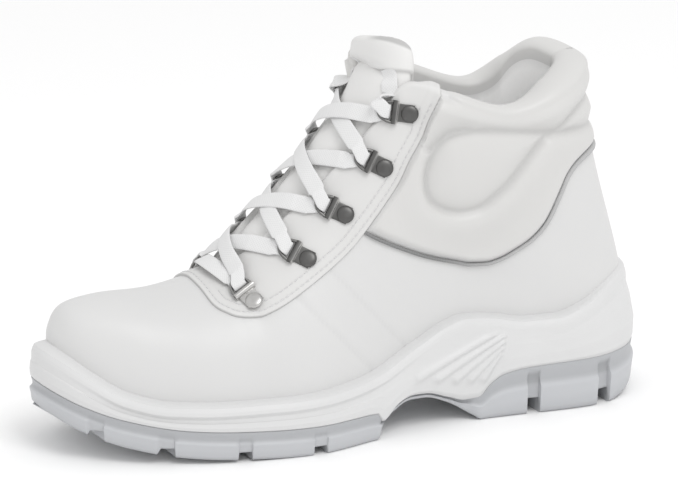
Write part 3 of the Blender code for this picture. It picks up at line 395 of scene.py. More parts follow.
@dataclass(frozen=True)
class Last:
    """The outer surface of the upper: staves round the boot, each a cubic from lip to top edge."""

    staves: tuple[Stave, ...] = (
        Stave("toe tip", 300, 90, 292, -7, 0, 50.5, 0, 0, 0.45, 0, 0.42, 0),
        Stave("toe wall", 296.5, 90, 290.6, -7, 0, 57.5, 0, 0, 0.45, 0, 0.42, 0),
        Stave("toe turn", 287, 90, 283.8, -6.6, 0, 66.2, 0, 0, 0.45, 0, 0.42, 2),
        Stave("toe roof", 268, 90, 266.5, -6, 0, 69.3, 0, 0, 0.45, 0, 0.42, 2),
        Stave("vamp", 240, 90, 240, -5, 0, 70, 0, 0, 0.45, 0, 0.40, 4),
        Stave("throat base", 214, 90, 213, -3, 0, 76.8, 0, 0, 0.45, 0, 0.38, 8),
        Stave("eyelet low", 198, 90, 202, -2, 12, 85, 0, -1, 0.45, 0, 0.34, 35),
        Stave("eyelet mid", 162, 90, 171, -1, 18, 112, 0, -1, 0.45, 0, 0.33, 55),
        Stave("eyelet high", 130, 90, 143, 0, 22.5, 142, 0, -1, 0.40, 0, 0.33, 68),
        Stave("facing top", 112, 90, 130, 0, 26, 159, -2, 0.5, 0.36, 0.02, 0.33, 76),
        Stave("collar front", 98, 92, 112, 0.5, 34.5, 154, -6, 1.5, 0.36, 0.03, 0.33, 84),
        Stave("collar dip", 78, 96, 84, 0.5, 38, 145, -12, -1, 0.36, 0.04, 0.33, 88),
        Stave("collar rise", 50, 112, 57, 0.5, 35, 152, -6, 0.8, 0.36, 0.02, 0.33, 90),
        Stave("collar turn", 20, 145, 37, 0.3, 21, 159.5, 0, 3.4, 0.30, -0.04, 0.34, 90),
        Stave("heel back", 0, 180, 28, 0, 0, 160.4, 0, 0, 0.25, -0.06, 0.35, 88),
    )
    throat: int = 5
    inset: float = 8.0
    lip_over: float = 1.0
    wall: float = 2.3
    pad_wall: float = 7.5
    pad_above: Ramp = Ramp(0.4, 3.6)
    pad_behind: Ramp = Ramp(-0.8, 2.8)
    pad_corner: Ramp = Ramp(9.86, 0.34)
    pad_front: Ramp = Ramp(7.45, 0.25)
    hem_front: Ramp = Ramp(9.25, 0.45)
    rim_extra: Curve = Curve(((9.8, 0.0), (10.6, 1.0), (11.2, 3.0), (12.0, 8.0), (13.0, 7.0), (14.0, 6.5)))

    def read(self, name: str, k: Array) -> Array:
        """A column of the staves at stave positions k, by a cubic."""
        column = [getattr(stave, name) for stave in self.staves]
        return cubic(np.arange(len(column)), column, k, False)

    def top(self, side: Side, k: Array) -> Array:
        """The staves' upper ends: ridge, throat edge and collar rim.

        Args:
            side: which side.
            k: stave positions of any shape.

        Returns:
            Points of that shape with a last axis of 3.
        """
        gaps = [stave.gap for stave in self.staves[self.throat:]]
        gap = cubic(np.arange(self.throat, len(self.staves)), gaps, k, False)
        is_open = k > self.throat
        gap = np.where(is_open, np.maximum(gap, 0.0), 0.0)
        s, z = self.read("top_s", k), self.read("top_z", k)
        if side is Side.MEDIAL:
            s = s + np.where(is_open, self.read("medial_s", k), 0.0)
            z = z + np.where(is_open, self.read("medial_z", k), 0.0)
        return np.stack([s, self.read("top_y", k) + side.value * gap, z], axis=-1)

    def feet(self, side: Side, k: Array) -> tuple[Array, Array, Array]:
        """The staves' lower ends.

        Args:
            side: which side.
            k: stave positions (n,).

        Returns:
            Feet on the cup floor, starts at the lip and plan normals there, each (n, 3).
        """
        foot = self.read("foot", k)
        x, y, normal = OUTLINE.edge(side, foot, np.full_like(foot, -self.inset))
        low = np.stack([x, y, FLOOR.at(foot)], axis=-1)
        high = np.stack([x, y, LIP.at(foot) + self.lip_over], axis=-1)
        return low, high, normal

    def curve(self, side: Side, k: Array, t: Array) -> Array:
        """Points of the staves, each a Bezier cubic from the lip to the top edge.

        Its first handle stands upright with a lean outward, its second falls away from the top edge at
        the crown angle; both are shares of the chord.

        Args:
            side: which side.
            k: stave positions (n,).
            t: shares along each stave (m,), 0 at the lip.

        Returns:
            Points (m, n, 3).
        """
        _, low, _ = self.feet(side, k)
        top = self.top(side, k)
        facing = np.radians(self.read("facing", k))
        out = np.stack([np.cos(facing), side.value * np.sin(facing), np.zeros_like(k)], axis=-1)
        chord = np.linalg.norm(top - low, axis=-1)[:, None]
        crown = np.radians(self.read("crown", k))[:, None]
        first = low + chord * (self.read("rise", k)[:, None] * UP + self.read("lean", k)[:, None] * out)
        second = top + chord * self.read("spread", k)[:, None] * (np.cos(crown) * out - np.sin(crown) * UP)
        return bezier(low, first, second, top, t[:, None, None])

    def place(self, side: Side, k: Array, below: Array) -> Array:
        """Points of the surface at staves k, a length below the top edge, read along each stave.

        Args:
            side: which side.
            k: stave positions, any shape.
            below: lengths of the same shape.

        Returns:
            Points of that shape with a last axis of 3.
        """
        k, below = np.broadcast_arrays(np.asarray(k, float), np.asarray(below, float))
        line = self.curve(side, k.ravel(), np.linspace(0.0, 1.0, 161))
        depth = below_top(line)
        want = np.clip(below.ravel(), 0.0, depth[0])
        i = np.clip((depth > want).sum(axis=0) - 1, 0, len(depth) - 2)
        column = np.arange(k.size)
        near, far = depth[i, column], depth[i + 1, column]
        share = ((near - want) / np.maximum(near - far, 1e-9))[:, None]
        points = line[i, column] * (1.0 - share) + line[i + 1, column] * share
        return points.reshape(*k.shape, 3)

    def normal(self, side: Side, k: Array, below: Array) -> Array:
        """Outward normals of the surface, by differences of its points.

        Args:
            side: which side.
            k: stave positions, any shape.
            below: lengths below the top edge.

        Returns:
            Normals, shaped as the points.
        """
        k, below = np.broadcast_arrays(np.asarray(k, float), np.asarray(below, float))
        along = self.place(side, k + 0.03, below) - self.place(side, k - 0.03, below)
        up = self.place(side, k, np.maximum(below - 0.5, 0.0)) - self.place(side, k, below + 0.5)
        return unit(side.value * np.cross(along, up))

    def pad(self, k: Array, curve: Array) -> Array:
        """1 in the padded collar, 0 elsewhere: above the piping and behind the facing.

        Args:
            k: stave positions (n,).
            curve: points of these staves (m, n, 3).

        Returns:
            Shares (m, n).
        """
        above = self.pad_above.at(over_piping(curve[..., [0, 2]]))
        behind = np.maximum(self.pad_behind.at(below_top(curve) - FACING.at(k)), self.pad_corner.at(k))
        return above * behind * self.pad_front.at(k)

    def hem(self, k: Array) -> Array:
        """How far the padded rim has set in along the top edge, 0 to 1."""
        return self.hem_front.at(k)


def below_top(curve: Array) -> Array:
    """Length of each point of the staves below the top edge, summed along the stave."""
    step = np.linalg.norm(np.diff(curve, axis=0), axis=2)
    return np.concatenate([np.cumsum(step[::-1], axis=0)[::-1], np.zeros((1, curve.shape[1]))])


LAST = Last()


class Value:
    """A shader socket that takes part in arithmetic: every operator adds a Math node."""

    def __init__(self, shader: "Shader", socket: Any) -> None:
        """Wraps an output socket."""
        self.shader = shader
        self.socket = socket

    def math(self, operation: str, first: Any, second: Any = 0.0) -> "Value":
        """A Math node of two operands, each a number or a Value."""
        return self.shader.node("Math", {"operation": operation}, {0: first, 1: second})

    def __add__(self, other: Any) -> "Value":
        """Sum."""
        return self.math("ADD", self, other)

    __radd__ = __add__

    def __mul__(self, other: Any) -> "Value":
        """Product."""
        return self.math("MULTIPLY", self, other)

    __rmul__ = __mul__

    def __sub__(self, other: Any) -> "Value":
        """Difference."""
        return self.math("SUBTRACT", self, other)

    def __rsub__(self, other: Any) -> "Value":
        """Difference from a number."""
        return self.math("SUBTRACT", other, self)


class Shader:
    """A node material built from expressions."""

    def __init__(self, name: str) -> None:
        """Starts a plain material of that name."""
        self.material = bpy.data.materials.new(name)
        self.material.use_nodes = True
        self.tree = self.material.node_tree
        self.surface = self.tree.nodes["Principled BSDF"]

    def node(self, kind: str, settings: dict[str, Any], sockets: dict[Any, Any], output: Any = 0) -> Value:
        """Adds a node, sets it up and links it.

        Args:
            kind: the node's type without its prefix.
            settings: properties, set first.
            sockets: numbers, tuples or Values by input name or number.
            output: which output is wanted.

        Returns:
            That output as a Value.
        """
        item = self.tree.nodes.new("ShaderNode" + kind)
        for name, setting in settings.items():
            setattr(item, name, setting)
        for name, value in sockets.items():
            self.feed(item.inputs[name], value)
        return Value(self, item.outputs[output])

    def feed(self, socket: Any, value: Any) -> None:
        """Links or sets a socket.

        Args:
            socket: the input.
            value: a Value to link, or a number, vector or colour to set.
        """
        if isinstance(value, Value):
            self.tree.links.new(value.socket, socket)
        else:
            socket.default_value = value

    def place(self) -> Value:
        """Object coordinates, in metres."""
        return self.node("TexCoord", {}, {}, "Object")

    def noise(self, where: Value, scale: float, detail: float = 2.0, rough: float = 0.5) -> Value:
        """Smooth noise between 0 and 1."""
        sockets = {"Vector": where, "Scale": scale, "Detail": detail, "Roughness": rough}
        return self.node("TexNoise", {}, sockets)

    def cells(self, where: Value, scale: float) -> Value:
        """Distance to the nearest cell border, 0 on the border."""
        settings = {"feature": "DISTANCE_TO_EDGE"}
        return self.node("TexVoronoi", settings, {"Vector": where, "Scale": scale})

    def mask(self, name: str) -> Value:
        """A mesh attribute as a number."""
        return self.node("Attribute", {"attribute_name": name}, {}, "Fac")

    def blend(self, share: Any, first: Any, second: Any) -> Value:
        """Colours mixed by a share."""
        settings = {"data_type": "RGBA", "blend_type": "MIX"}
        return self.node("Mix", settings, {0: share, 6: first, 7: second}, 2)

    def bump(self, height: Value, strength: float, distance: float) -> Value:
        """A bumped normal."""
        sockets = {"Strength": strength, "Distance": distance, "Height": height}
        return self.node("Bump", {}, sockets)

    def dress(self, **inputs: Any) -> bpy.types.Material:
        """Feeds the surface shader.

        Args:
            inputs: Values, numbers or colours by socket name, in small letters.

        Returns:
            The material.
        """
        for name, value in inputs.items():
            self.feed(self.surface.inputs[name.replace("_", " ").title()], value)
        return self.material


def grey(level: float, warm: float = 0.0) -> tuple[float, float, float, float]:
    """A neutral colour, made a little warmer or, below zero, cooler."""
    return (level * (1.0 + 0.5 * warm), level, level * (1.0 - warm), 1.0)


@dataclass(frozen=True)
class Leather:
    """Coated leather: a fine pebble grain, faint clouding, and painted shade in its seams and grooves."""

    name: str
    level: float
    warm: float = 0.0
    roughness: float = 0.42
    grain: float = 0.10
    grain_scale: float = 900.0
    # Level of the painted shade, as a share of the leather's level
    painted_shade: float = 0.42
    edge: float = 0.42
    soft: float = 0.955
    soft_warm: float = 0.016

    def material(self) -> bpy.types.Material:
        """The finish as nodes.

        Returns:
            The material, which reads the mesh's shade attribute for painted shade, edge and, where it is
            padded, fade.
        """
        shader = Shader(self.name)
        where = shader.place()
        cloud = shader.noise(where, 26.0, 3.0)
        pebble = shader.cells(where, self.grain_scale)
        pores = shader.noise(where, 2.6 * self.grain_scale, 1.0)
        tint = shader.blend(cloud, grey(0.975 * self.level, self.warm), grey(1.02 * self.level, self.warm))
        padded = shader.blend(shader.mask("fade"), tint, grey(self.soft * self.level, self.soft_warm))
        # Painted shade in grooves, along seams and beside the piping
        shaded = shader.blend(shader.mask("painted_shade") * 0.8, padded, grey(self.painted_shade * self.level, self.warm))
        cut = shader.blend(shader.mask("edge"), shaded, grey(self.edge, self.warm))
        height = pebble * 0.7 + pores * 0.3
        return shader.dress(
            base_color=cut,
            roughness=cloud * 0.10 + (self.roughness - 0.05),
            normal=shader.bump(height, self.grain, 0.0003),
        )


@dataclass(frozen=True)
class Moulded:
    """Moulded polyurethane: a fine matt skin with small pits, and painted shade in its corners, grooves and
    recesses.
    """

    name: str
    level: float
    cool: float = 0.02
    roughness: float = 0.5
    # Level of the painted shade, as a share of the moulding's level
    corner: float = 0.6

    def material(self) -> bpy.types.Material:
        """The finish as nodes.

        Returns:
            The material, which darkens to painted shade where the mesh's shade attribute says so.
        """
        shader = Shader(self.name)
        where = shader.place()
        cloud = shader.noise(where, 40.0, 3.0)
        skin = shader.noise(where, 1800.0, 2.0)
        pits = shader.cells(where, 420.0)
        tint = shader.blend(cloud, grey(0.97 * self.level, -self.cool), grey(1.03 * self.level, -self.cool))
        # Painted shade in corners, grooves, recesses and on the underside
        shade = shader.blend(shader.mask("painted_shade"), tint, grey(self.corner * self.level, -self.cool))
        return shader.dress(
            base_color=shade,
            roughness=skin * 0.12 + (self.roughness - 0.06),
            normal=shader.bump(skin * 0.6 + pits * 0.4, 0.10, 0.0002),
        )


@dataclass(frozen=True)
class Woven:
    """A flat woven band: two sets of slanting threads along the band's own map."""

    name: str
    level: float
    roughness: float = 0.85
    pitch: float = 1.1
    edge_level: float = 1.0

    def material(self) -> bpy.types.Material:
        """The finish as nodes; the map's first axis runs along the band, in millimetres.

        Returns:
            The material, which the mesh's attribute edge leads to the edge level.
        """
        shader = Shader(self.name)
        flat = shader.node("UVMap", {}, {})
        settings = {"wave_type": "BANDS", "bands_direction": "DIAGONAL"}
        scale = 0.5 / self.pitch
        one = shader.node("TexWave", settings, {"Vector": flat, "Scale": scale}, 1)
        turned = shader.node("VectorMath", {"operation": "MULTIPLY"}, {0: flat, 1: (1.0, -1.0, 1.0)})
        two = shader.node("TexWave", settings, {"Vector": turned, "Scale": scale}, 1)
        weave = one.math("MAXIMUM", one, two)
        fuzz = shader.noise(shader.place(), 2400.0, 2.0)
        tint = shader.blend(weave * 0.6 + fuzz * 0.2, grey(0.86 * self.level), grey(1.04 * self.level))
        tint = shader.blend(shader.mask("edge"), tint, grey(self.edge_level * self.level))
        return shader.dress(
            base_color=tint,
            roughness=self.roughness,
            normal=shader.bump(weave * 0.8 + fuzz * 0.2, 0.35, 0.0003),
        )


@dataclass(frozen=True)
class Felt:
    """A knitted lining or footbed: soft, matt and faintly mottled."""

    name: str
    level: float
    warm: float = 0.0
    mottle: float = 0.12
    faded: float = 0.64
    roughness: float = 0.95

    def material(self) -> bpy.types.Material:
        """The finish as nodes.

        Returns:
            The material, which the mesh's attribute fade leads to the faded level.
        """
        shader = Shader(self.name)
        where = shader.place()
        fibre = shader.noise(where, 900.0, 4.0, 0.7)
        loops = shader.cells(where, 1100.0)
        low = grey((1.0 - self.mottle) * self.level, self.warm)
        high = grey((1.0 + 0.7 * self.mottle) * self.level, self.warm)
        tint = shader.blend(shader.mask("fade"), shader.blend(fibre, low, high), grey(self.faded, self.warm))
        return shader.dress(
            base_color=tint,
            roughness=self.roughness,
            normal=shader.bump(fibre * 0.5 + loops * 0.5, 0.4, 0.0004),
        )


@dataclass(frozen=True)
class Steel:
    """Plated steel: a painted highlight along the strip that the attribute edge marks, with a fine brushed
    bump.
    """

    name: str
    level: float
    roughness: float = 0.3
    metallic: float = 1.0
    # Level of the painted highlight
    painted_highlight: float = 0.62

    def material(self) -> bpy.types.Material:
        """The finish as nodes.

        Returns:
            The material, with a painted highlight where the mesh's attribute edge says so.
        """
        shader = Shader(self.name)
        where = shader.place()
        cloud = shader.noise(where, 300.0, 3.0)
        brush = shader.noise(where, 2200.0, 2.0)
        tint = shader.blend(cloud, grey(0.8 * self.level, 0.02), grey(1.25 * self.level, 0.02))
        # Painted highlight where the attribute edge marks the strip
        tint = shader.blend(shader.mask("edge"), tint, grey(self.painted_highlight, 0.02))
        return shader.dress(
            base_color=tint,
            roughness=cloud * 0.15 + (self.roughness - 0.07),
            metallic=self.metallic,
            normal=shader.bump(brush, 0.05, 0.0001),
        )


def grid_quads(rows: int, columns: int, wrap_rows: bool = False, wrap_columns: bool = False) -> Array:
    """Corner numbers of a grid's quads, row by row.

    Args:
        rows: rows of points.
        columns: points of a row.
        wrap_rows: whether the last row joins the first.
        wrap_columns: whether each row's last point joins its first.

    Returns:
        Numbers (rows of quads, quads of a row, 4).
    """
    r = np.arange(rows if wrap_rows else rows - 1)[:, None]
    c = np.arange(columns if wrap_columns else columns - 1)[None, :]
    right, down = (c + 1) % columns, (r + 1) % rows
    corners = [r * columns + c, r * columns + right, down * columns + right, down * columns + c]
    return np.stack(np.broadcast_arrays(*corners), axis=-1)


def new_object(name: str, data: Any) -> Any:
    """A new object of that data, linked to the scene."""
    item = bpy.data.objects.new(name, data)
    bpy.context.scene.collection.objects.link(item)
    return item


# Mesh attributes that the finishes read
MASKS = ("painted_shade", "edge", "fade")


class Piece:
    """A mesh gathered from grids, then welded, dressed and set on the frame."""

    def __init__(self, name: str) -> None:
        """Starts an empty mesh of that name."""
        self.name = name
        self.points: list[Array] = []
        self.quads: list[Array] = []
        self.slots: list[Array] = []
        self.masks: dict[str, list[Array]] = {}
        self.flat: list[Array] = []
        self.count = 0

    def add(
        self, grid: Array, quads: Array, slot: int = 0, masks: dict[str, Array] | None = None,
        flat: Array | None = None,
    ) -> None:
        """Adds a grid of points in millimetres.

        Args:
            grid: points (..., 3).
            quads: corner numbers (..., 4) into the grid.
            slot: which of the piece's materials the faces take.
            masks: named numbers for each point.
            flat: map coordinates (..., 2) for each point.
        """
        points = grid.reshape(-1, 3)
        quads = quads.reshape(-1, 4)
        self.points.append(points)
        self.quads.append(quads + self.count)
        self.slots.append(np.full(len(quads), slot))
        for name in MASKS:
            values = np.broadcast_to((masks or {}).get(name, 0.0), grid.shape[:-1])
            self.masks.setdefault(name, []).append(values.ravel())
        self.flat.append(np.zeros((len(points), 2)) if flat is None else flat.reshape(-1, 2))
        self.count += len(points)

    def finish(self, materials: list[bpy.types.Material], sharp: float = 40.0) -> Any:
        """Makes the object: points that meet are merged and normals turned outward.

        Args:
            materials: one for each slot used.
            sharp: the angle in degrees past which an edge stays sharp.

        Returns:
            The object, linked, at the origin.
        """
        mesh = bpy.data.meshes.new(self.name)
        points = (np.concatenate(self.points) + FRAME_SHIFT) * MM
        mesh.from_pydata(points, [], np.concatenate(self.quads))
        for name, values in self.masks.items():
            layer = mesh.attributes.new(name, "FLOAT", "POINT")
            layer.data.foreach_set("value", np.concatenate(values).astype(np.float32))
        corner = np.empty(len(mesh.loops), np.int32)
        mesh.loops.foreach_get("vertex_index", corner)
        layer = mesh.uv_layers.new(name="UVMap")
        layer.data.foreach_set("uv", np.concatenate(self.flat)[corner].astype(np.float32).ravel())
        mesh.polygons.foreach_set("material_index", np.concatenate(self.slots).astype(np.int32))
        shell = bmesh.new()
        shell.from_mesh(mesh)
        bmesh.ops.remove_doubles(shell, verts=shell.verts[:], dist=2e-6)
        bmesh.ops.dissolve_degenerate(shell, edges=shell.edges[:], dist=1e-6)
        bmesh.ops.recalc_face_normals(shell, faces=shell.faces[:])
        shell.to_mesh(mesh)
        shell.free()
        mesh.shade_smooth()
        mesh.set_sharp_from_angle(angle=math.radians(sharp))
        for material in materials:
            mesh.materials.append(material)
        LOG.info("%s: %d faces", self.name, len(mesh.polygons))
        return new_object(self.name, mesh)


def halves(loop: Array, count: int) -> tuple[Array, Array]:
    """A closed loop's outer and inner side, each of count points from the toe tip to the heel back."""
    return loop[:count], np.concatenate([loop[:1], loop[:count - 2:-1]])


def close_loop(piece: Piece, loop: Array, count: int, columns: int = 2) -> None:
    """Closes a loop with a grid of straight lines from its outer to its inner side.

    Args:
        piece: what the surface is added to.
        loop: the loop's points (2 count - 2, 3).
        count: points of a side.
        columns: points of each line across.
    """
    lateral, medial = halves(loop, count)
    share = np.linspace(0.0, 1.0, columns)[None, :, None]
    piece.add(lateral[:, None] * (1.0 - share) + medial[:, None] * share, grid_quads(count, columns))


def settle(item: Any, slot: str, *nodes: str) -> None:
    """Lets a piece ride on the boot's one body and hides the CAD nodes that it replaces.

    Args:
        item: the piece's object.
        slot: not used.
        nodes: CAD nodes that it replaces.
    """
    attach(item, "root")
    if nodes:
        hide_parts(*nodes)


class Gap(NamedTuple):
    """A cut between cleats: station, breadth along the sole, depth, and where it ends inside."""

    s: float
    wide: float
    deep: float
    inner: float


class Groove(NamedTuple):
    """A pair of grooves along the tread: their stations, distances from the middle line, and depth."""

    low: float
    high: float
    near: float
    far: float
    deep: float


class Rib(NamedTuple):
    """A slanting rib on the waist: lower and upper ends."""

    low_s: float
    low_z: float
    high_s: float
    high_z: float


GAPS = (
    Gap(281, 5, 3.8, 10),
    Gap(253, 5.5, 3.8, 14),
    Gap(219.5, 5.5, 3.8, 16),
    Gap(184, 6, 4, 16),
    Gap(69, 5.5, 7.5, 14),
    Gap(31, 6, 7.5, 12),
)


def profile_rows(knots: tuple[float, ...], levels: Array, at: Array) -> Array:
    """Rows (at, stations) of a side profile: a cubic through given rows (knots, stations)."""
    weights = np.stack([cubic(np.array(knots), row, at) for row in np.eye(len(knots))], axis=1)
    return weights @ levels


TREAD_MIDDLE = Curve(((0, 0.0), (120, 1.0), (200, 0.0), (260, -5.0), (300, -7.0)))


def with_keys(base: Array, keys: Array, apart: float) -> Array:
    """Falling stations: the keys, and those of the base that keep their distance from every key."""
    far = np.abs(base[:, None] - keys).min(axis=1) > apart
    return np.sort(np.concatenate([base[far], keys]))[::-1]


@dataclass
class Outsole:
    """The grey cleated sole: a stepped wall, an underside with gaps and grooves.

    rows: the wall from the tread to the split line, as offset outward, share of the height and painted
    shade;
    corners: stations of the split line's and the tread's corners; lines: distances from the middle of
    the lines along the tread; sipes: stations of the fine cuts across it.
    """

    join_inset: float = 5.0
    step_deep: float = 1.6
    step_more: float = 0.9
    flank: float = 0.5
    waist_inset: float = 2.6
    waist_from: float = 97.0
    waist_to: float = 151.0
    arch: float = 120.0
    front_channel: float = 0.45
    under_split: float = 3.4
    channel_shade: float = 0.35
    under_shade: float = 0.25
    full_half: float = 26.0
    sipe_deep: float = 1.6
    sipe_half: float = 0.9
    sipe_reach: float = 7.0
    rows: tuple[tuple[float, float, float], ...] = (
        (-2.6, 0.00, 0.7), (-1.5, 0.015, 0.5), (-0.95, 0.06, 0.3), (-0.8, 0.14, 0.15), (-0.45, 0.36, 0.0),
        (-0.12, 0.50, 0.0), (0.0, 0.55, 0.0), (-0.1, 0.58, 0.0), (-0.5, 0.615, 0.1), (-1.15, 0.66, 0.35),
        (-1.45, 0.72, 0.45), (-1.4, 0.82, 0.4), (-1.1, 0.92, 0.35), (-0.9, 0.975, 0.4), (-1.1, 1.0, 0.5),
    )
    corners: tuple[float, ...] = (84.0, 91.0, 95.0, 95.5, 149.5, 151.2, 152.0)
    lines: tuple[float, ...] = (
        0.0, 3.0, 6.0, 7.3, 7.7, 8.6, 9.6, 10.3, 10.8, 11.6, 12.2, 13.6, 14.2, 15.6, 16.3, 18.0,
    )
    grooves: tuple[Groove, ...] = (Groove(168.0, 236.0, 8.4, 12.0, 4.0), Groove(20.0, 88.0, 7.4, 11.0, 5.0))
    sipes: tuple[float, ...] = (40.0, 57.0, 82.0, 172.0, 196.0, 208.0, 230.0, 242.0, 264.0, 273.0)

    def stations(self) -> Array:
        """Falling stations: close at the ends, doubled at the flanks of each gap."""
        flanks = [gap.s + sign * 0.5 * gap.wide + d for gap in GAPS for sign in (-1, 1)
                  for d in (-self.flank, 0.0)]
        return with_keys(cosine_stations(261), np.array([*flanks, *self.corners]), 0.35)

    def cut(self, s: Array) -> tuple[Array, Array]:
        """How far a station lies in a gap and how high that gap's ceiling is.

        Args:
            s: stations (n,).

        Returns:
            Shares, 0 to 1, and heights, both (n,).
        """
        share, ceiling = np.zeros_like(s), np.zeros_like(s)
        for gap in GAPS:
            near = 0.5 * gap.wide - np.abs(s - gap.s)
            here = np.clip(near / self.flank + 1.0, 0.0, 1.0)
            foot = TREAD.at(np.array([gap.s]))[0]
            ceiling = np.where(here > 0.0, foot + gap.deep, ceiling)
            share = np.maximum(share, here)
        return share, ceiling

    def wall(self, s: Array) -> tuple[Array, Array, Array]:
        """The wall's rows from the tread up to the split line, drawn in at the waist and in the gaps.

        Args:
            s: falling stations (n,).

        Returns:
            Outward offsets, heights and shades, each (rows, n).
        """
        tread, split = TREAD.at(s), SPLIT.at(s)
        inset = self.waist_inset * smooth((s - self.waist_from) / 6.0) * smooth((self.waist_to - s) / 4.0)
        out, share, dark = np.array(self.rows).T[..., None]
        offset = out - inset
        z = tread + share * (split - tread)
        inside_gap, ceiling = self.cut(s)
        top = split - self.under_split
        lifted = np.maximum(z, np.minimum(ceiling, top))
        z = z + (lifted - z) * inside_gap
        depth = np.where(s > self.arch, self.front_channel, 1.0)
        channel = inside_gap * smooth((top + 1.0 - z) / 2.0) * depth
        offset = offset - channel * np.maximum(offset + self.step_deep + self.step_more + inset, 0.0)
        shade = dark * np.ones_like(s) + self.channel_shade * channel
        offset = np.concatenate([offset, np.full((1, len(s)), -self.join_inset)])
        z = np.concatenate([z, split[None]])
        return offset, z, np.concatenate([shade, shade[-1:]])

    def underside(self, loop: Array, s: Array) -> Array:
        """The tread: level lines across from edge to edge, raised in the gaps and grooves.

        Lines near the middle keep their own y; those further out share the rest of the breadth.

        Args:
            loop: the wall's lowest row (2 n - 2, 3).
            s: falling stations (n,).

        Returns:
            Points (n, lines, 3) from the outer to the inner edge.
        """
        shares = np.linspace(0.0, 1.0, 9)[1:]
        parts = []
        for side, rim in zip(Side, halves(loop, len(s))):
            reach = np.abs(rim[:, 1] - TREAD_MIDDLE.at(s))[:, None]
            own = np.array(self.lines)[None] * np.minimum(1.0, reach / self.full_half)
            outer = own[:, -1:] + (reach - own[:, -1:]) * shares[None]
            width = np.concatenate([own, outer], axis=1)
            share = width / np.maximum(reach, 1e-6)
            x = s[:, None] + (rim[:, :1] - s[:, None]) * share**2
            y = TREAD_MIDDLE.at(s)[:, None] + side.value * width
            z = self.tread_height(s, side.value * width, rim[:, 2:3], share)
            part = np.stack([x, y, z], axis=-1)
            part[:, -1] = rim
            parts.append(part)
        return np.concatenate([parts[0][:, ::-1], parts[1][:, 1:]], axis=1)

    def tread_height(self, s: Array, y: Array, rim_z: Array, share: Array) -> Array:
        """Heights under the sole: the tread line, gaps past their inner ends, grooves along, sipes across.

        Args:
            s: falling stations (n,).
            y: distances from the middle line (n, lines).
            rim_z: heights of the wall's lowest row (n, 1).
            share: how far each point lies towards the edge (n, lines).

        Returns:
            Heights (n, lines).
        """
        z = TREAD.at(s)[:, None] + np.zeros_like(y)
        inside_gap, ceiling = self.cut(s)
        inner = np.zeros_like(s)
        for gap in GAPS:
            inner = np.where(np.abs(s - gap.s) < gap.wide, gap.inner, inner)
        cut_off = smooth((np.abs(y) - inner[:, None]) / 0.6) * inside_gap[:, None]
        z = z + cut_off * np.maximum(ceiling[:, None] - z, 0.0)
        for groove in self.grooves:
            along = smooth((s[:, None] - groove.low) / 0.8) * smooth((groove.high - s[:, None]) / 0.8)
            across = smooth((np.abs(y) - groove.near) / 0.5) * smooth((groove.far - np.abs(y)) / 0.5)
            z = np.maximum(z, groove.deep * along * across)
        for at in self.sipes:
            sipe = smooth((self.sipe_half - np.abs(s[:, None] - at)) / 0.5)
            z = z + self.sipe_deep * sipe * smooth((self.sipe_reach - np.abs(y)) / 0.6)
        return z + (rim_z - z) * smooth((share - 0.985) / 0.015)

    def build(self) -> None:
        """The sole as one closed mesh."""
        s = self.stations()
        offset, z, shade = self.wall(s)
        loop = OUTLINE.loop(s, offset, z)
        piece = Piece("outsole_cleated")
        # Painted shade on the wall's lower rows, in the gaps' channels and on the underside
        piece.add(loop, grid_quads(*loop.shape[:2], wrap_columns=True), masks={"painted_shade": ring(shade, shade)})
        under = self.underside(loop[0], s)
        piece.add(under, grid_quads(*under.shape[:2]), masks={"painted_shade": np.array(self.under_shade)})
        close_loop(piece, loop[-1], len(s))
        material = Moulded("grey_polyurethane", 0.52, 0.035, 0.46, 0.55).material()
        settle(piece.finish([material], sharp=52.0), "outsole", "outsole")


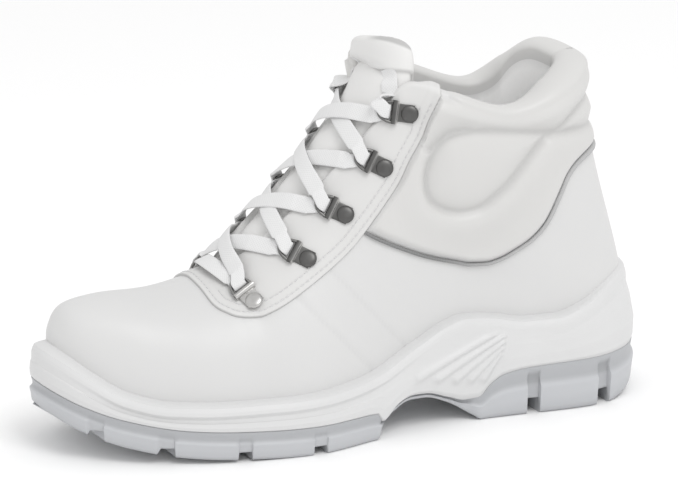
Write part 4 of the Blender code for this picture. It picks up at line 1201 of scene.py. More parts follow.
@dataclass
class Midsole:
    """The white cup: a bulging wall, a groove under the lip along the forefoot, fan ribs at the waist.

    marks: where the side profile's given rows stand along it, from the split line over the lip to the floor.
    """

    join_inset: float = 5.0
    bead_drop: float = 6.0
    heel_draft: float = 3.2
    cup_inner: float = -8.3
    fit: float = 0.3
    groove_deep: float = 0.9
    groove_from: Ramp = Ramp(118.0, 40.0)
    rib_wide: float = 1.9
    rib_proud: float = 1.5
    marks: tuple[float, ...] = (0.0, 1.0, 1.4, 2.4, 3.4, 4.0, 4.4, 4.8, 5.4, 6.0, 6.6, 7.2, 7.6, 8.6)
    ribs: tuple[Rib, ...] = (
        Rib(129, 25.5, 85, 43),
        Rib(119, 23.5, 84.5, 40),
        Rib(109.5, 22, 85, 37),
        Rib(101.5, 21, 86, 34),
        Rib(95, 20.5, 87, 31),
    )

    def profile(self, s: Array, at: Array, groove: Array) -> tuple[Array, Array]:
        """The wall's rows: given ones, named by split line, bead, lip and floor, and a cubic between them.

        Args:
            s: falling stations (n,).
            at: where rows are wanted along the profile (m,).
            groove: how far the groove under the bead has set in (n,).

        Returns:
            Outward offsets and heights, both (m, n).
        """
        base, lip, floor = SPLIT.at(s) + 0.05, LIP.at(s), FLOOR.at(s) - self.fit
        bead = np.maximum(lip - self.bead_drop, base + 3.0)
        draft = self.heel_draft * smooth((60.0 - s) / 50.0)
        inner = self.cup_inner
        offsets = np.stack(np.broadcast_arrays(
            -self.join_inset, -1.2, -0.5, -0.25, -0.7 - 0.5 * draft, -1.1 - draft,
            -1.2 - draft - self.groove_deep * groove, -1.3 - draft, -1.7 - draft, -2.7 - 0.85 * draft,
            -4.6 - 0.5 * draft, inner + 0.15, inner, inner,
        ))
        heights = np.stack([
            base, base, base + 0.08 * (bead - base), base + 0.35 * (bead - base), base + 0.7 * (bead - base),
            bead - 2.4, bead - 0.2, bead + 1.6, bead + 0.5 * (lip - bead), bead + 0.8 * (lip - bead),
            lip - 0.35, lip + 0.5, lip - 0.4, floor,
        ])
        return profile_rows(self.marks, offsets, at), profile_rows(self.marks, heights, at)

    def fan(self, place: Array) -> Array:
        """The ribs' height, 0 to 1: a bell across each rib, narrower towards its upper end.

        Args:
            place: s and z of the wall's points (..., 2).

        Returns:
            Heights (...).
        """
        bumps = np.zeros(place.shape[:-1])
        for rib in self.ribs:
            away = line_distance(place, np.array([[rib.low_s, rib.low_z], [rib.high_s, rib.high_z]]))
            share = np.clip((rib.low_s - place[..., 0]) / (rib.low_s - rib.high_s), 0.0, 1.0)
            bumps = np.maximum(bumps, bell(away, self.rib_wide * (1.15 - 0.5 * share)))
        return bumps

    def build(self) -> None:
        """The cup as one closed mesh: rows of the wall from the split line over the lip to the floor."""
        keys = np.concatenate([np.arange(76.0, 132.0, 0.5), [149.5, 152.0]])
        s = with_keys(cosine_stations(231), keys, 0.4)
        groove = self.groove_from.at(s) * smooth((296.0 - s) / 25.0)
        stretches = ((0.0, 1.4, 12), (1.4, 4.0, 66), (4.0, 8.6, 42))
        at = np.concatenate([[0.0], *(np.linspace(*stretch)[1:] for stretch in stretches)])
        offset, z = self.profile(s, at, groove)
        at = at[:, None]
        wall = smooth((at - 1.2) / 0.6) * smooth((4.4 - at) / 0.6)
        bumps = self.fan(np.stack([np.broadcast_to(s, z.shape), z], axis=-1))
        loop = OUTLINE.loop(s, offset + self.rib_proud * bumps * wall, z)
        # Painted shade in the groove under the bead and along the split line
        painted_shade = bell(at - 4.4, 0.4) * 0.12 * groove + bell(at - 1.0, 0.2) * 0.5
        piece = Piece("midsole_cup")
        piece.add(loop, grid_quads(*loop.shape[:2], wrap_columns=True), masks={"painted_shade": ring(painted_shade, painted_shade)})
        close_loop(piece, loop[0], len(s))
        close_loop(piece, loop[-1], len(s))
        material = Moulded("white_polyurethane", 0.655, 0.0, 0.42, 0.72).material()
        settle(piece.finish([material], sharp=50.0), "midsole", "midsole")


@dataclass
class Insole:
    """The footbed: a thin felt sheet that follows the cup floor."""

    thick: float = 3.0
    gap: float = 1.8

    def build(self) -> None:
        """The footbed as one closed mesh."""
        s = cosine_stations(121)[::-1]
        rim = -(LAST.inset + LAST.wall + self.gap)
        marks = (0.0, 1.0, 2.0, 3.0)
        offsets = np.array([rim - 0.6, rim, rim, rim - 1.0])[:, None] * np.ones_like(s)
        heights = np.array([0.0, 1.0, self.thick - 0.8, self.thick])[:, None] + FLOOR.at(s)
        at = np.linspace(marks[0], marks[-1], 12)
        loop = OUTLINE.loop(s, profile_rows(marks, offsets, at), profile_rows(marks, heights, at))
        piece = Piece("insole_felt")
        piece.add(loop, grid_quads(*loop.shape[:2], wrap_columns=True))
        close_loop(piece, loop[0], len(s), 15)
        close_loop(piece, loop[-1], len(s), 15)
        settle(piece.finish([Felt("footbed_felt", 0.30).material()]), "insole", "insole")


# Lines of the padded collar and the quarters, as s and z on the outer side
COLLAR_SEAM = (
    (121, 131), (112.5, 139.2), (98.2, 138.3), (78.2, 136.4), (55.7, 134.1), (34.9, 132.7),
    (10, 132),
)
BACK_SEAM = ((64.8, 133.5), (55.9, 136.5), (47.3, 141.4), (36.0, 145.6), (10.0, 148.5))
TEARDROP = (
    (64.8, 134.3), (75.3, 122.8), (87.4, 109.7), (99.4, 101.9), (111.2, 101.8), (120.8, 107.4),
    (123.2, 116.7), (121, 125.9), (114.7, 135.2), (103.1, 138.4), (78.2, 136.4), (64.8, 134.6),
)
QUARTER_SEAMS = (
    ((187.5, 68.8), (185.9, 67.1), (172.3, 52.8), (154.5, 34.5), (150, 30)),
    ((172, 81), (170.2, 79.2), (155.3, 62.8), (134.8, 41.5), (130, 36.5)),
)


class Crease(NamedTuple):
    """A soft trough: ends in s and z, half breadth and depth."""

    start: tuple[float, float]
    end: tuple[float, float]
    wide: float
    deep: float


CREASES = (
    Crease((205, 62), (214, 40), 7, 0.35),
    Crease((222, 60), (228, 42), 6, 0.25),
    Crease((150, 92), (138, 62), 8, 0.35),
    Crease((60, 88), (40, 74), 9, 0.35),
    Crease((96, 70), (70, 62), 9, 0.25),
)


@dataclass
class Upper:
    """The leather upper: outer skin, rolled rim and lining in one closed wall."""

    columns: int = 330
    rows: int = 100
    rim_rows: int = 13
    turned_rows: int = 1
    inner_step: int = 4
    groove_floor: float = 0.5
    groove_round: float = 0.9
    roll: float = 7.2
    roll_soft: float = 6.5
    panel: float = 3.0
    panel_soft: float = 4.6
    crescent: float = 4.4
    crescent_soft: float = 1.9
    crescent_fall: float = 0.45
    crescent_falls: Ramp = Ramp(3.0, 18.0)
    back_share: float = 0.45
    back_ends: Ramp = Ramp(25.0, 40.0)
    pad_shade: float = 0.34
    quarter_shade: float = 0.09
    piping_shade: float = 0.30
    rim_share: float = 0.55
    rim_lift: float = 0.78
    seam_deep: float = 0.3
    turned: float = 9.0
    inner_full: float = 14.0
    inner_deep: float = 64.0

    def staves(self) -> Array:
        """Stave positions: evenly spaced, with the throat base among them."""
        front = np.linspace(0.0, LAST.throat, int(0.36 * self.columns))
        return np.concatenate([front[:-1], np.linspace(LAST.throat, 14.0, self.columns - len(front))])

    def relief(self, place: Array, pad: Array) -> tuple[Array, Array, Array]:
        """How far the leather stands out, and the painted shade in its grooves, along its seams and beside
        the piping.

        In the padded collar the height rises from each seam's groove as one minus an exponential
        of the distance: high in the roll above the collar seam, low in the teardrop panel, and in
        the crescent below it steep at first, then falling towards the piping; at the heel back about
        half as high. Elsewhere the quarter seams are fine grooves and the creases shallow troughs.

        Args:
            place: points (..., 3) of the plain surface.
            pad: 1 in the padded collar.

        Returns:
            The padding's displacement outward, the rest's, and painted shade.
        """
        flat = place[..., [0, 2]]
        drop = rounded(TEARDROP, 60)
        lines = [drop, rounded(COLLAR_SEAM, 40), rounded(BACK_SEAM, 24)]
        away = np.min([line_distance(flat, line) for line in lines], axis=0)
        soft = np.sqrt(away**2 + self.groove_round**2) - self.groove_round
        seam_height = np.interp(flat[..., 0], *np.array(COLLAR_SEAM)[::-1].T)
        roll = self.roll * (1.0 - np.exp(-soft / self.roll_soft))
        panel = self.panel * (1.0 - np.exp(-soft / self.panel_soft))
        crescent = self.crescent * (1.0 - np.exp(-soft / self.crescent_soft))
        crescent = crescent * (1.0 - self.crescent_fall * self.crescent_falls.at(away))
        swell = np.where(flat[..., 1] > seam_height, roll, crescent)
        swell = np.where(inside(flat, drop), panel, swell)
        back = self.back_share + (1.0 - self.back_share) * self.back_ends.at(flat[..., 0])
        padding = pad * back * (self.groove_floor + swell)
        # Painted shade in the collar's grooves, along the quarter seams and beside the piping
        painted_shade = self.pad_shade * pad * bell(away, 1.5)
        rest = np.zeros_like(padding)
        for line in QUARTER_SEAMS:
            d = line_distance(flat, rounded(line, 24))
            rest = rest - self.seam_deep * bell(d, 1.3) * (1.0 - pad)
            painted_shade = np.maximum(painted_shade, self.quarter_shade * bell(d, 0.9) * (1.0 - pad))
        for crease in CREASES:
            d = line_distance(flat, np.array([crease.start, crease.end]))
            rest = rest - crease.deep * bell(d, crease.wide) * (1.0 - pad)
        beside = np.abs(over_piping(flat))
        reach = smooth((154.0 - flat[..., 0]) / 3.0) * (flat[..., 1] > 70.0)
        return padding, rest, np.maximum(painted_shade, self.piping_shade * bell(beside, 1.5) * reach)

    def grids(self) -> tuple[Array, Array, Array, Array, Array]:
        """The two faces of the wall: the last's surface with its relief, and that less the thickness.

        The wall is thick in the padded collar and along the rim's hem, and thicker still by the rim's
        extra padding, which thins out with the depth below the top edge.

        Returns:
            Outer and inner points and outer normals (rows, loop, 3), painted shade and padding (rows, loop).
        """
        k, t = self.staves(), np.linspace(0.0, 1.0, self.rows)
        sides = []
        for side in Side:
            low, _, plan = LAST.feet(side, k)
            curve = LAST.curve(side, k, t)
            base = np.concatenate([low[None], curve])
            pad = np.concatenate([np.zeros((1, len(k))), LAST.pad(k, curve)])
            deep = below_top(base)
            share = np.maximum(pad, LAST.hem(k) * smooth((25.0 - deep) / 10.0))
            bulge = smooth((self.inner_deep - deep) / (self.inner_deep - self.inner_full))
            thick = LAST.wall + (LAST.pad_wall - LAST.wall) * share + LAST.rim_extra.at(k) * bulge
            sides.append((base, pad, thick, plan[None]))
        base, pad, thick, plan = [ring(*pair) for pair in zip(*sides)]
        normal = self.normals(base, k)
        normal[:2] = plan
        padding, rest, painted_shade = self.relief(base, pad)
        rim = self.rim_share + (1.0 - self.rim_share) * smooth(below_top(base) / 7.0)
        high = padding * rim + rest
        high[0] = 0.0
        outer = base + normal * high[..., None]
        inner = base - normal * thick[..., None]
        return outer, inner, normal, painted_shade, pad

    def normals(self, base: Array, k: Array) -> Array:
        """Outward normals of the loop grid; the two sides share one normal along the welded ridge.

        Args:
            base: points (rows, loop, 3).
            k: stave positions of a side.

        Returns:
            Normals (rows, loop, 3).
        """
        along = np.roll(base, -1, axis=1) - np.roll(base, 1, axis=1)
        normal = unit(np.cross(along, np.gradient(base, axis=0)))
        normal[:, 0] = (1.0, 0.0, 0.0)
        last = int(np.argmin(np.abs(k - LAST.throat)))
        count = base.shape[1]
        left = np.arange(1, last + 1)
        mean = unit(normal[-1, left] + normal[-1, count - left])
        normal[-1, left] = mean
        normal[-1, count - left] = mean
        return normal

    def rim(self, outer: Array, inner: Array, normal: Array, closed: Array) -> Array:
        """Rows over the top edge: half an ellipse from the outer to the inner edge, level where closed.

        Args:
            outer: outer points (rows, loop, 3).
            inner: inner points of the same shape.
            normal: outward normals of the same shape.
            closed: which of the loop's points lie on the ridge before the throat.

        Returns:
            Points (rim rows, loop, 3).
        """
        up = square_to(outer[-1] - outer[-4], normal[-1])
        middle = 0.5 * (outer[-1] + inner[-1])
        radius = 0.5 * np.linalg.norm(outer[-1] - inner[-1], axis=1)[None, :, None]
        angle = np.linspace(0.0, math.pi, self.rim_rows + 2)[1:-1, None, None]
        full = 0.5 * LAST.pad_wall
        lift = self.rim_lift * np.where(radius > full, full * (radius / full) ** 0.6, radius)
        lift = np.where(closed[None, :, None], 0.0, lift)
        return middle + radius * np.cos(angle) * normal[-1] + lift * np.sin(angle) * up

    def build(self) -> None:
        """The upper as one closed mesh with leather outside and lining inside."""
        outer, inner, normal, painted_shade, pad = self.grids()
        rows, count = outer.shape[:2]
        last = int(np.argmin(np.abs(self.staves() - LAST.throat)))
        number = np.arange(count)
        closed = (number <= last) | (number >= count - last)
        grid = np.concatenate([outer, self.rim(outer, inner, normal, closed), inner[::-self.inner_step]])
        quads = grid_quads(len(grid), count, wrap_rows=True, wrap_columns=True)
        web = np.zeros(quads.shape[:2], bool)
        web[rows - 1: rows + self.rim_rows] = (closed & np.roll(closed, -1))[None]
        slot = np.zeros(quads.shape[:2], int)
        slot[rows + self.rim_rows + self.turned_rows:] = 1
        shade = np.concatenate([painted_shade, np.zeros((len(grid) - rows, count))])
        turned = smooth((self.turned - below_top(inner)[::-self.inner_step]) / self.turned)
        fade = np.concatenate([pad, np.repeat(pad[-1:], self.rim_rows, axis=0), turned])
        piece = Piece("upper_leather")
        for part in (0, 1):
            piece.add(grid, quads[(slot == part) & ~web], part, {"painted_shade": shade, "fade": fade})
        skin = Leather("white_leather", 0.645, 0.004).material()
        lining = Felt("lining_knit", 0.95, 0.006, 0.03).material()
        settle(piece.finish([skin, lining], sharp=70.0), "upper", "upper")


@dataclass
class Eyestay:
    """The U-shaped facing: a strip of leather on the upper, folded over the throat edge."""

    proud: float = 1.3
    buried: float = 0.5
    under: float = 0.7
    edge_round: float = 0.6
    fold: float = 150.0
    fold_rows: int = 7
    cut_shade: float = 0.9
    stitch_shade: float = 0.05
    front: float = 4.51
    rear: float = 9.82
    stitch_insets: tuple[float, float] = (2.6, 6.2)

    def staves(self) -> Array:
        """Stave positions: close together at the rounded front and at the rear corner."""
        near = self.front + (5.0 - self.front) * np.linspace(0.0, 1.0, 40) ** 2
        return np.concatenate([near[:-1], np.linspace(5.0, 9.0, 130)[:-1], np.linspace(9.0, self.rear, 60)])

    def border(self) -> Array:
        """The cut edge as a line on the upper.

        Returns:
            Points (n, 3) from the outer side's rear round the front to the inner side's.
        """
        k = self.staves()
        sides = [LAST.place(side, k, FACING.at(k)) for side in Side]
        return np.concatenate([sides[0][::-1], sides[1][1:]])

    def depths(self, k: Array) -> Array:
        """Rows of the strip as lengths below the throat edge: close at the cut edge, then even.

        Args:
            k: stave positions (n,).

        Returns:
            Lengths (rows, n), from the cut edge to 0.
        """
        near = np.array([0.0, 0.08, 0.2, 0.4, 0.7, 1.2, 2.0, 3.0])[:, None]
        wide = FACING.at(k)
        outer = wide - near * np.minimum(1.0, wide / 6.0)
        inner = outer[-1] * np.linspace(1.0, 0.0, 25)[1:, None]
        return np.concatenate([outer, inner])

    def sheet(self, side: Side, k: Array) -> tuple[Array, Array, Array]:
        """The upper's surface under the strip.

        Args:
            side: which side.
            k: stave positions (n,).

        Returns:
            Points and normals (rows, n, 3), and distances from the cut edge (rows, n).
        """
        depth = self.depths(k)
        place = LAST.place(side, k, depth)
        return place, LAST.normal(side, k, depth), line_distance(place, self.border())

    def height(self, away: Array) -> Array:
        """Height over the upper: under it at the cut edge, rounding up to the strip's thickness."""
        share = np.clip(away / self.edge_round, 0.0, 1.0)
        return -self.buried + (self.proud + self.buried) * (1.0 - (1.0 - share) ** 3)

    def build(self) -> None:
        """The strip as one closed mesh: outer rows, the fold round the throat edge, hidden underside."""
        k = self.staves()
        closed = k <= LAST.throat + 1e-6
        sheets = {side: self.sheet(side, k) for side in Side}
        shared = unit(sheets[Side.LATERAL][1][-1, closed] + sheets[Side.MEDIAL][1][-1, closed])
        piece = Piece("eyestay_facing")
        for side, (place, normal, away) in sheets.items():
            normal[-1, closed] = shared
            normal[:, 0] = shared[0]
            outer = place + normal * self.height(away)[..., None]
            up = np.where(closed[:, None], 0.0, square_to(place[-1] - place[-3], normal[-1]))
            half = 0.5 * (LAST.wall + (LAST.pad_wall - LAST.wall) * LAST.hem(k))[:, None]
            angle = np.radians(np.linspace(0.0, self.fold, self.fold_rows + 1))[1:, None, None]
            radius = (half + self.height(away[-1])[:, None])[None]
            fold = place[-1] - half * normal[-1] + radius * (np.cos(angle) * normal[-1] + np.sin(angle) * up)
            under = place[::-1] - self.under * normal[::-1]
            grid = np.concatenate([outer, fold, under])
            grid[:, -1] = place[-1, -1] - normal[-1, -1]
            quads = grid_quads(len(grid), len(k), wrap_rows=True)
            keep = np.ones(quads.shape[:2], bool)
            keep[len(outer) - 1: len(outer) + self.fold_rows, closed[1:]] = False
            far = np.concatenate([away, np.repeat(away[-1:], self.fold_rows, axis=0), away[::-1]])
            rows = np.max([bell(far - inset, 0.8) for inset in self.stitch_insets], axis=0)
            # Painted shade along the two stitch rows
            masks = {"edge": self.cut_shade * bell(far, 0.28), "painted_shade": self.stitch_shade * rows}
            piece.add(grid, quads[keep], masks=masks)
        material = Leather("facing_leather", 0.65, 0.012, 0.46, 0.12, 1000.0).material()
        settle(piece.finish([material], sharp=60.0), "eyestay", "eyestay")


@dataclass
class Stitching:
    """Lockstitches beside the facing's cut edge: two rows along the sides, one round the front."""

    length: float = 2.2
    pitch: float = 2.9
    wide: float = 0.55
    high: float = 0.36
    end_gap: float = 3.0
    astray: float = 1.2
    front_half: float = 14.0
    around: int = 8
    along: int = 6

    def bead(self) -> Array:
        """One stitch: rings of a rounded rod, swelling from a point and back to one.

        Returns:
            Points (along + 1, around, 3).
        """
        t = np.linspace(-1.0, 1.0, self.along + 1)[:, None]
        angle = np.linspace(0.0, 2.0 * math.pi, self.around, endpoint=False)[None]
        swell = np.sqrt(np.maximum(1.0 - t**4, 0.0))
        across, up = 0.5 * self.wide * swell * np.cos(angle), self.high * swell * np.sin(angle)
        return np.stack(np.broadcast_arrays(0.5 * self.length * t, across, up), axis=-1)

    def spots(self, facing: Eyestay, inset: float, whole: bool) -> tuple[Array, Array, Array]:
        """Places, directions and normals of a row of stitches at a distance inside the cut edge.

        Args:
            facing: the strip that is sewn.
            inset: the distance.
            whole: whether the row also runs round the front.

        Returns:
            Three arrays (stitches, 3).
        """
        k = facing.staves()
        points, normals, away = [np.concatenate(parts, axis=1) for parts in zip(
            *(facing.sheet(side, k) for side in Side))]
        line = facing.border()
        run = run_along(line)
        at = np.arange(inset + self.end_gap, run[-1] - inset - self.end_gap, self.pitch)
        on_edge = read_line(line, run, at)
        ahead = unit(read_line(line, run, at + 0.4) - on_edge)
        flat_points, flat_normals = points.reshape(-1, 3), normals.reshape(-1, 3)
        guess = on_edge + inset * np.cross(ahead, flat_normals[nearest(flat_points, on_edge)])
        found = nearest(flat_points, guess)
        normal = flat_normals[found]
        place = guess - ((guess - flat_points[found]) * normal).sum(axis=1, keepdims=True) * normal
        good = np.abs(away.reshape(-1)[found] - inset) < self.astray
        good &= whole | (np.abs(place[:, 1]) > self.front_half)
        place = place + (facing.proud + 0.02) * normal
        return place[good], ahead[good], normal[good]

    def build(self, facing: Eyestay) -> None:
        """All stitches as one mesh of small closed beads.

        Args:
            facing: the strip that is sewn.
        """
        bead = self.bead()
        piece = Piece("eyestay_stitching")
        rods = grid_quads(self.along + 1, self.around, wrap_columns=True).reshape(-1, 4)
        for inset, whole in zip(facing.stitch_insets, (True, False)):
            place, ahead, normal = self.spots(facing, inset, whole)
            side = unit(np.cross(normal, ahead))
            axes = np.stack([np.cross(side, normal), side, normal], axis=1)
            grid = np.einsum("ruc,ncx->nrux", bead, axes) + place[:, None, None]
            start = bead.shape[0] * bead.shape[1] * np.arange(len(place))[:, None, None]
            piece.add(grid, rods[None] + start)
        settle(piece.finish([Woven("white_thread", 0.72).material()]), "eyestay")


@dataclass
class Tongue:
    """The padded tongue under the lace, with a roll along its top."""

    gap: float = 0.5
    thick: float = 5.5
    edge_thick: float = 2.5
    wing: float = 12.0
    bridge: float = 0.6
    top: Curve = Curve((
        (-1.0, 14.0), (-0.8, 17.5), (-0.6, 18.8), (-0.4, 18.0), (-0.2, 16.0), (0.0, 14.0), (0.3, 12.8),
        (0.6, 12.6), (1.0, 11.5),
    ))
    bow: float = 0.30
    lean: tuple[float, float, float] = (-0.12, 0.0, 1.0)
    shift: float = 3.5
    twist: float = 7.0
    turned_from: Ramp = Ramp(-0.05, 0.45)
    lowest: float = 5.35
    highest: float = 9.0
    roll_from: float = 0.08
    roll_slant: float = 0.8
    roll_proud: float = 1.8
    puff: float = 0.8
    band_wide: float = 2.2
    edge_round: float = 3.0

    def face(self, v: Array, across: Array) -> Array:
        """Points of the outer face.

        Each section has two wings under the facing and a Bezier bridge between them. Past the last
        section the face is drawn up to its top line, turned a little and its edges drawn in.

        Args:
            v: stave positions up to the last section, then 0 to 1 more for the free end.
            across: -1 at the outer side to 1 at the inner side.

        Returns:
            An array (v, across, 3).
        """
        k = np.minimum(v, self.highest)
        at = np.minimum(k, 8.0)
        step = LAST.top(Side.LATERAL, at + 0.2) - LAST.top(Side.LATERAL, at - 0.2)
        ahead = unit(np.stack([step[:, 2], np.zeros_like(k), -step[:, 0]], axis=-1))
        inset = LAST.wall + self.gap
        points = np.empty((len(v), len(across), 3))
        ends, tangents = [], []
        for side in Side:
            wing = -side.value * across
            under = wing > self.bridge
            below = np.append(self.wing * (wing[under] - self.bridge) / (1.0 - self.bridge), 0.0)
            place = LAST.place(side, k[:, None], below) - inset * LAST.normal(side, k[:, None], below)
            points[:, under] = place[:, :-1]
            up = unit(LAST.place(side, k, 0.0) - LAST.place(side, k, 2.0))
            ends.append(place[:, -1:])
            tangents.append((up * (1.0, 1.0, 0.0) + up[:, 2:] * ahead)[:, None])
        reach = self.bow * np.linalg.norm(ends[1] - ends[0], axis=-1, keepdims=True)
        bridge = np.abs(across) <= self.bridge
        b = (0.5 * across[bridge] / self.bridge + 0.5)[None, :, None]
        handles = [end + reach * tangent for end, tangent in zip(ends, tangents)]
        points[:, bridge] = bezier(ends[0], *handles, ends[1], b)
        free = np.clip(v - self.highest, 0.0, 1.0)[:, None]
        points = points + (free * self.top.at(across)[None])[..., None] * np.array(self.lean)
        turn = self.turned_from.at(v - self.highest)[:, None]
        points[..., 0] += (self.shift + self.twist * np.clip(across, -0.7, 0.6))[None] * turn
        narrow = np.interp(free, (0.0, 0.45, 0.8, 1.0), (1.0, 0.97, 0.95, 0.95))
        narrow = 1.0 - (1.0 - narrow) * (1.0 + 3.0 * smooth((np.abs(across)[None] - 0.5) / 0.4))
        middle = points[..., 1].mean(axis=1, keepdims=True)
        points[..., 1] = middle + (points[..., 1] - middle) * narrow
        return points

    def normals(self, grid: Array) -> Array:
        """Normals of a face grid that point out of the boot."""
        return unit(np.cross(np.gradient(grid, axis=0), np.gradient(grid, axis=1)))

    def build(self) -> None:
        """The tongue as one closed pillow: a middle surface with a rounded thickness to both sides."""
        near = np.array([0.0, 0.006, 0.02, 0.045, 0.08, 0.13])
        half = np.concatenate([-1.0 + near, np.linspace(-0.84, 0.0, 30)])
        across = np.concatenate([half, -half[-2::-1]])
        free = np.concatenate([np.linspace(0.0, 0.75, 26)[1:], 1.0 - near[::-1] * 1.6])
        v = np.concatenate([self.lowest + near, np.linspace(5.55, self.highest, 80), self.highest + free])
        grid = self.face(v, across)
        normal = self.normals(grid)
        thick = self.edge_thick + (self.thick - self.edge_thick) * (1.0 - across**2)
        down = below_top(grid)
        over = below_top(grid.transpose(1, 0, 2)).T
        away = np.min([down[:1] - down, down, over[:, :1] - over, over], axis=0)
        swell = np.sqrt(np.maximum(1.0 - (1.0 - np.clip(away / self.edge_round, 0.0, 1.0)) ** 2, 0.0))
        rise = (v - self.highest)[:, None]
        start = np.clip(self.roll_from - self.roll_slant * (across + 0.25), -0.3, 0.6)[None]
        roll = smooth((rise - start) / 0.07) * (1.0 - 0.4 * smooth((rise - 0.6) / 0.4))
        roll = roll * smooth((0.1 - across) / 0.4)
        puff = self.roll_proud * roll + self.puff * (1.0 - across**2) * (1.0 - roll)
        middle = grid - normal * (0.5 * thick)[None, :, None]
        outer = middle + normal * ((0.5 * thick + puff) * swell)[..., None]
        inner = middle - normal * (0.5 * thick * swell)[..., None]
        # Painted shadow along the lower edge of the roll
        painted_shade = 0.45 * bell(rise - start, 0.05) * smooth((0.05 - across) / 0.3)
        piece = Piece("tongue_padded")
        rows, columns = grid.shape[:2]
        band = smooth((self.band_wide - down) / 0.8) * smooth((0.05 - across) / 0.25)
        masks = {"painted_shade": painted_shade, "edge": 0.85 * band * smooth((rise - 0.5) / 0.2)}
        piece.add(outer, grid_quads(rows, columns), 0, masks)
        piece.add(inner, grid_quads(rows, columns), 1)
        skin = Leather("tongue_leather", 0.74, 0.012, 0.5, 0.14, 800.0).material()
        lining = Felt("tongue_lining", 0.70, 0.02).material()
        item = piece.finish([skin, lining], sharp=70.0)
        settle(item, "tongue", "tongue")


def unflipped(wide: Array) -> Array:
    """Width directions (n, 3), each turned to the side of the one before it."""
    turn = np.where((wide[1:] * wide[:-1]).sum(axis=1) < 0.0, -1.0, 1.0)
    return wide * np.concatenate([[1.0], np.cumprod(turn)])[:, None]


def sweep(
    piece: Piece, path: Array, across: Array, profile: Array, closed: bool = False,
    swell: Array | None = None, edge: Array | None = None,
) -> None:
    """Carries a closed profile along a path and draws each end of an open one to a point.

    The profile stands on the width, made square to the path and kept from flipping, and on the
    direction square to both.

    Args:
        piece: what the surface is added to.
        path: points (n, 3).
        across: rough width directions (n, 3).
        profile: points (m, 2): width and thickness.
        closed: whether the path is a loop.
        swell: factors (n, 2) of the profile's width and thickness along an open path.
        edge: shares (n,) of the attribute edge along an open path.
    """
    if closed:
        path, across = [np.concatenate([loop[-1:], loop, loop[:1]]) for loop in (path, across)]
    tangent = unit(np.gradient(path, axis=0))
    wide = unflipped(unit(across - tangent * (across * tangent).sum(axis=1, keepdims=True)))
    third = np.cross(tangent, wide)
    shape = profile[None] if swell is None else profile[None] * swell[:, None]
    grid = path[:, None] + shape[..., :1] * wide[:, None] + shape[..., 1:] * third[:, None]
    flat = np.stack(np.broadcast_arrays(run_along(path)[:, None], profile[None, :, 0]), axis=-1)
    if closed:
        grid, flat = grid[1:-1], flat[1:-1]
    else:
        tips = [np.broadcast_to(end.mean(axis=1, keepdims=True), end.shape) for end in (grid[:1], grid[-1:])]
        grid = np.concatenate([tips[0], grid, tips[1]])
        flat = np.concatenate([flat[:1], flat, flat[-1:]])
    quads = grid_quads(*grid.shape[:2], wrap_rows=closed, wrap_columns=True)
    masks = None if edge is None else {"edge": np.concatenate([edge[:1], edge, edge[-1:]])[:, None]}
    piece.add(grid, quads, masks=masks, flat=flat)


def oval(wide: float, high: float, count: int, power: float = 2.0) -> Array:
    """A superellipse profile.

    Args:
        wide: full width.
        high: full thickness.
        count: how many points.
        power: 2 for an ellipse, more for a squarer shape.

    Returns:
        Points (count, 2).
    """
    angle = np.linspace(0.0, 2.0 * math.pi, count, endpoint=False)
    c, s = np.cos(angle), np.sin(angle)
    return np.stack([
        0.5 * wide * np.sign(c) * np.abs(c) ** (2.0 / power),
        0.5 * high * np.sign(s) * np.abs(s) ** (2.0 / power),
    ], axis=1)


@dataclass
class Piping:
    """The grey cord in the seam under the padded collar."""

    radius: float = 0.85
    back_radius: float = 1.35
    lift: float = 0.7
    first: float = 7.47
    fuller: Ramp = Ramp(10.8, 2.2)
    paler: Ramp = Ramp(8.6, 2.6)

    def line(self, side: Side, k: Array) -> Array:
        """How far below the top edge the piping's line crosses each stave.

        Args:
            side: which side.
            k: stave positions (n,).

        Returns:
            Lengths (n,).
        """
        curve = LAST.curve(side, k, np.linspace(0.0, 1.0, 241))
        over = curve[..., 2] - PIPE_LINE.at(curve[..., 0])
        return np.array([np.interp(0.0, o, d) for o, d in zip(over.T, below_top(curve).T)])

    def build(self) -> None:
        """A round tube from under the facing's edge round the heel and back, fuller at the back."""
        k = np.linspace(self.first, 14.0, 170)
        rise = (self.lift * smooth(0.4 + (k - self.first) / 0.2))[:, None]
        full = 1.0 + (self.back_radius / self.radius - 1.0) * self.fuller.at(k)
        pale = self.paler.at(k)
        sides = []
        for side in Side:
            below = self.line(side, k)
            normal = LAST.normal(side, k, below)
            normal[-1] = unit(np.array([-1.0, 0.0, 0.25]))
            sides.append((LAST.place(side, k, below) + normal * rise, normal, full, pale))
        path, normal, full, pale = [np.concatenate([out, back[-2::-1]]) for out, back in zip(*sides)]
        piece = Piece("piping_cord")
        profile = oval(2.0 * self.radius, 2.0 * self.radius, 12)
        sweep(piece, path, normal, profile, swell=np.stack([full, full], axis=1), edge=pale)
        # The cord turns lighter towards the back
        cord = Woven("grey_cord", 0.24, edge_level=1.9)
        settle(piece.finish([cord.material()]), "piping", "piping")


class RingSpot(NamedTuple):
    """A ring unit: its level, and the staves and depths of its rivet and of its ring's middle."""

    level: int
    stave: float
    below: float
    ring_stave: float
    ring_below: float

    def named(self, kind: str, side: Side) -> str:
        """The name of a piece or node of this unit."""
        return f"{kind}_{side.name.lower()}_{self.level}"


RINGS = (
    RingSpot(1, 5.66, 26.2, 5.29, 19.4),
    RingSpot(2, 6.69, 23.1, 6.53, 13.8),
    RingSpot(3, 7.30, 20.2, 7.12, 10.7),
    RingSpot(4, 8.00, 19.7, 7.74, 8.7),
    RingSpot(5, 9.01, 12.0, 8.44, 3.4),
)


